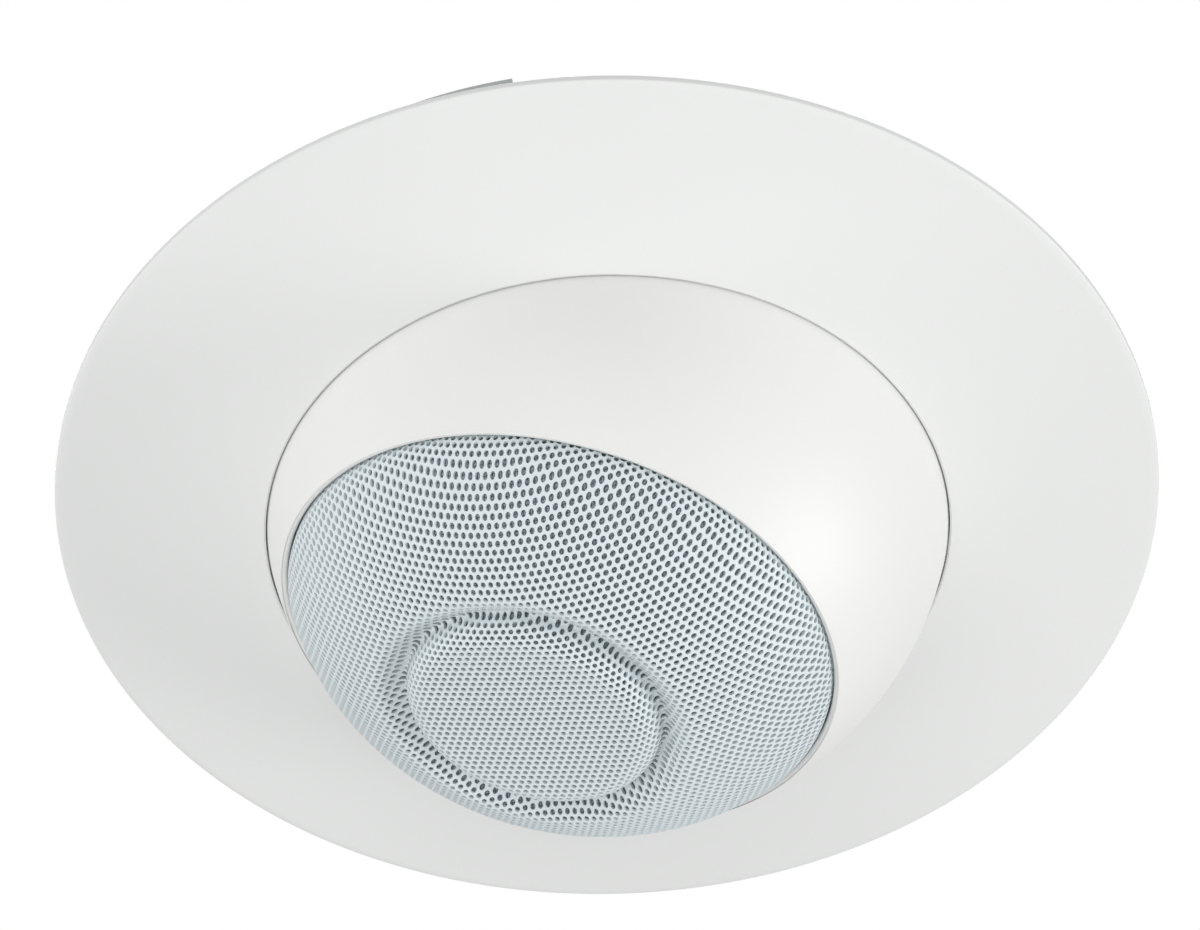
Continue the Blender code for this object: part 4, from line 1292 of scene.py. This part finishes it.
# ---------------------------------------------------------------- inside the enclosure

def build_crossover():
    """The crossover's choke and capacitors, and the wadding round the magnet."""
    bobbin = smooth_loop(mm([(5, 23.9, 0.2), (13, 23.9, 0.3), (13, 24.9, 0.3), (8.6, 25.1, 0.2),
                             (8.6, 35.7, 0.2), (13, 35.9, 0.3), (13, 36.9, 0.3), (5, 36.9, 0.2)]), 2)
    layers = [helix(12, 0.0088 + 0.0008 * layer, 0.0255, 0.0353, 0.00042, "copper_wire")
              for layer in range(5)]
    choke = shifted(joined([lathe(bobbin, 48), *layers]), -0.0170, 0, 0)
    make_piece("choke", choke, "copper_wire", "ball", ["crossover_inductor"], TILTED)
    for number, y in enumerate((-0.0130, 0.0020), 1):
        outline = rounded(mm([
            (0, 12.5, 0), (4.2, 12.5, 0.3), (4.4, 12.1, 0.2), (5.5, 12.3, 0.5), (5.5, 9.6, 0.3),
            (5.1, 9.2, 0.3), (5.5, 8.8, 0.3), (5.5, -12.5, 0.5), (0, -12.5, 0)]), 3)
        can = lathe(outline, 40)
        can.transform(Matrix.Translation((0.0160, y, 0.0295)) @ Matrix.Rotation(math.pi / 2, 4, "Y"))
        make_piece(f"capacitor_can_{number}", can, "black_plastic", "ball",
                   [f"crossover_capacitor_{number}"], TILTED)
    outline = rounded(mm([(46, -16, 0), (71, -16, 4), (73, -5, 4), (71, 6, 4), (46, 6, 4),
                          (46, -16, 4)]), 5)
    wad = lathe(flipped(outline[:-1]), 160)
    lump_up(wad)
    ring = make_piece("wadding_ring", wad, "wadding", "ball", ["damping_wadding"], TILTED, 80.0)


def lump_up(bm):
    """Give a ring of loose wadding its soft lumps, always inwards from its outline."""
    for vertex in bm.verts:
        azimuth = math.atan2(vertex.co.y, vertex.co.x)
        wave = math.sin(9 * azimuth) + 0.6 * math.sin(17 * azimuth + 900 * vertex.co.z)
        wave += 0.4 * math.sin(31 * azimuth - 600 * vertex.co.z)
        sink = 0.0007 * (2.0 + wave) / 4.0
        middle = Vector((0.0595 * math.cos(azimuth), 0.0595 * math.sin(azimuth), 0.0050))
        vertex.co += (middle - vertex.co).normalized() * sink


def dress_frame():
    """Give the CAD nodes that still show their finishes."""
    slots = {row["node"]: row["material_slot"] for row in frame["record"]["subparts"]}
    for name, node in frame["nodes"].items():
        if node.hide_render:
            continue
        finish = FINISHES[slots[name]]
        node.data.materials.clear()
        node.data.materials.append(finish)


# ---------------------------------------------------------------- stage

def soft_light(name, place, size, power):
    """A square soft light that faces the object."""
    light = bpy.data.lights.new(name, "AREA")
    light.size = size
    light.energy = power
    item = bpy.data.objects.new(name, light)
    item.location = place
    item.rotation_euler = Vector(place).to_track_quat("Z", "Y").to_euler()
    item.visible_camera = False
    bpy.context.scene.collection.objects.link(item)


def build_camera(stage):
    """The camera, which looks up at the bezel from a long way off."""
    back = Vector((math.sin(stage.azimuth) * math.cos(stage.elevation),
                   -math.cos(stage.azimuth) * math.cos(stage.elevation), math.sin(stage.elevation)))
    right = (-back).cross(Vector((0, 0, 1))).normalized()
    upward = back.cross(right)
    turned_right = math.cos(stage.roll) * right + math.sin(stage.roll) * upward
    turned_up = -math.sin(stage.roll) * right + math.cos(stage.roll) * upward
    target = Vector((0.0001, -0.0046, 0.0039))
    camera_data = bpy.data.cameras.new("camera")
    camera_data.sensor_width = 36.0
    camera_data.lens = 36.0 * stage.distance / stage.width
    camera_data.clip_end = 200.0
    camera = bpy.data.objects.new("camera", camera_data)
    axes = Matrix((turned_right, turned_up, back)).transposed()
    camera.matrix_world = Matrix.Translation(target + back * stage.distance) @ axes.to_4x4()
    bpy.context.scene.collection.objects.link(camera)
    bpy.context.scene.camera = camera


def build_lights(stage):
    """Even light all round, and soft lights below, beside and behind."""
    white = (1.0, 1.0, 1.0, 1.0)
    world = bpy.data.worlds.new("surroundings")
    world.use_nodes = True
    tree = world.node_tree
    tree.nodes.clear()
    start = Wire(tree)
    seen = start.node("ShaderNodeLightPath", output="Is Camera Ray")
    room = start.node("ShaderNodeBackground", None, {"Color": white, "Strength": stage.surround})
    plain = start.node("ShaderNodeBackground", None, {"Color": white, "Strength": 1.0})
    mixed = start.node("ShaderNodeMixShader", None, {0: seen, 1: room, 2: plain})
    start.node("ShaderNodeOutputWorld", None, {"Surface": mixed})
    bpy.context.scene.world = world
    bpy.context.scene.view_settings.view_transform = "Standard"

    soft_light("near_light_low", (0.2, -3.2, -0.6), 1.6, stage.near)
    soft_light("near_light_high", (0.3, -2.6, -2.2), 1.6, stage.near)
    soft_light("left_light_low", (-3.0, -0.8, -0.5), 1.6, stage.left)
    soft_light("left_light_high", (-2.6, -0.6, -1.9), 1.6, stage.left)
    soft_light("under_light", (0.0, 0.0, -3.3), 1.8, stage.left)
    soft_light("right_light", (2.8, 1.2, -1.4), 1.6, stage.right)
    soft_light("void_light", (-0.8, 1.6, 2.6), 2.0, stage.top)



def build_floor():
    """A pale floor far below."""
    bm = bmesh.new()
    bmesh.ops.create_grid(bm, x_segments=8, y_segments=8, size=40.0)
    mesh = bpy.data.meshes.new("floor")
    bm.to_mesh(mesh)
    bm.free()
    paint = bpy.data.materials.new("floor_paint")
    paint.use_nodes = True
    shader = paint.node_tree.nodes["Principled BSDF"]
    shader.inputs["Base Color"].default_value = (0.9, 0.9, 0.9, 1.0)
    shader.inputs["Roughness"].default_value = 0.9
    mesh.materials.append(paint)
    floor = bpy.data.objects.new("floor", mesh)
    floor.location = (0, 0, -15.0)
    bpy.context.scene.collection.objects.link(floor)


# ---------------------------------------------------------------- operators and panel

class SPEAKER_OT_finishes(bpy.types.Operator):
    """Make every finish"""

    bl_idname = "speaker.finishes"
    bl_label = "Finishes"

    def execute(self, context):
        make_finishes(context.scene.speaker_colours)
        return {"FINISHED"}


class SPEAKER_OT_bezel(bpy.types.Operator):
    """Build the wide bezel with its pegs"""

    bl_idname = "speaker.bezel"
    bl_label = "Bezel"

    def execute(self, context):
        build_bezel(context.scene.speaker_sizes)
        return {"FINISHED"}


class SPEAKER_OT_ball(bpy.types.Operator):
    """Build the painted front of the ball"""

    bl_idname = "speaker.ball"
    bl_label = "Ball"

    def execute(self, context):
        build_ball(context.scene.speaker_sizes)
        return {"FINISHED"}


class SPEAKER_OT_grille(bpy.types.Operator):
    """Build the perforated grille"""

    bl_idname = "speaker.grille"
    bl_label = "Grille"

    def execute(self, context):
        build_grille(context.scene.speaker_sizes)
        return {"FINISHED"}


class SPEAKER_OT_scrim(bpy.types.Operator):
    """Build the cloth behind the grille"""

    bl_idname = "speaker.scrim"
    bl_label = "Scrim"

    def execute(self, context):
        build_scrim(context.scene.speaker_sizes)
        return {"FINISHED"}


class SPEAKER_OT_mounting(bpy.types.Operator):
    """Build the mounting ring, its gasket and the keeper ring"""

    bl_idname = "speaker.mounting"
    bl_label = "Mounting ring"

    def execute(self, context):
        build_mounting()
        return {"FINISHED"}


class SPEAKER_OT_clamps(bpy.types.Operator):
    """Build the four ceiling clamps"""

    bl_idname = "speaker.clamps"
    bl_label = "Clamps"

    def execute(self, context):
        build_clamps()
        return {"FINISHED"}


class SPEAKER_OT_swivel(bpy.types.Operator):
    """Build the swivel ring, its bushes and the ball's pins"""

    bl_idname = "speaker.swivel"
    bl_label = "Swivel"

    def execute(self, context):
        build_swivel()
        return {"FINISHED"}


class SPEAKER_OT_enclosure(bpy.types.Operator):
    """Build the ball's back with its terminals"""

    bl_idname = "speaker.enclosure"
    bl_label = "Enclosure"

    def execute(self, context):
        build_enclosure()
        build_terminals()
        return {"FINISHED"}


class SPEAKER_OT_woofer(bpy.types.Operator):
    """Build the cone driver"""

    bl_idname = "speaker.woofer"
    bl_label = "Woofer"

    def execute(self, context):
        build_woofer()
        return {"FINISHED"}


class SPEAKER_OT_tweeter(bpy.types.Operator):
    """Build the tweeter"""

    bl_idname = "speaker.tweeter"
    bl_label = "Tweeter"

    def execute(self, context):
        build_tweeter()
        return {"FINISHED"}


class SPEAKER_OT_crossover(bpy.types.Operator):
    """Build the crossover's parts and the wadding"""

    bl_idname = "speaker.crossover"
    bl_label = "Crossover"

    def execute(self, context):
        build_crossover()
        return {"FINISHED"}


class SPEAKER_OT_frame_finish(bpy.types.Operator):
    """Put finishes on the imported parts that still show"""

    bl_idname = "speaker.frame_finish"
    bl_label = "Frame finishes"

    def execute(self, context):
        dress_frame()
        return {"FINISHED"}


class SPEAKER_OT_stage(bpy.types.Operator):
    """Set up the camera, the lights and the floor"""

    bl_idname = "speaker.stage"
    bl_label = "Stage"

    def execute(self, context):
        stage = context.scene.speaker_stage
        build_camera(stage)
        build_lights(stage)
        build_floor()
        return {"FINISHED"}


STEPS = (
    SPEAKER_OT_finishes, SPEAKER_OT_bezel, SPEAKER_OT_ball, SPEAKER_OT_grille, SPEAKER_OT_scrim,
    SPEAKER_OT_mounting, SPEAKER_OT_clamps, SPEAKER_OT_swivel, SPEAKER_OT_enclosure,
    SPEAKER_OT_woofer, SPEAKER_OT_tweeter, SPEAKER_OT_crossover, SPEAKER_OT_frame_finish,
    SPEAKER_OT_stage)


class SPEAKER_PT_panel(bpy.types.Panel):
    """The loudspeaker's pieces, in the order in which they are built"""

    bl_idname = "SPEAKER_PT_panel"
    bl_label = "Ceiling loudspeaker"
    bl_space_type = "VIEW_3D"
    bl_region_type = "UI"
    bl_category = "Loudspeaker"

    def draw(self, context):
        for step in STEPS:
            self.layout.operator(step.bl_idname)


CLASSES = (SpeakerSizes, SpeakerColours, SpeakerStage, *STEPS, SPEAKER_PT_panel)


def register():
    """Register the classes and put the settings on the scene."""
    for item in CLASSES:
        bpy.utils.register_class(item)
    bpy.types.Scene.speaker_sizes = PointerProperty(type=SpeakerSizes)
    bpy.types.Scene.speaker_colours = PointerProperty(type=SpeakerColours)
    bpy.types.Scene.speaker_stage = PointerProperty(type=SpeakerStage)


def unregister():
    """Take the settings off the scene and unregister the classes."""
    del bpy.types.Scene.speaker_stage
    del bpy.types.Scene.speaker_colours
    del bpy.types.Scene.speaker_sizes
    for item in reversed(CLASSES):
        bpy.utils.unregister_class(item)


def main():
    """Build the whole loudspeaker."""
    register()
    for step in STEPS:
        group, name = step.bl_idname.split(".")
        getattr(getattr(bpy.ops, group), name)()


if __name__ == "__main__":
    main()
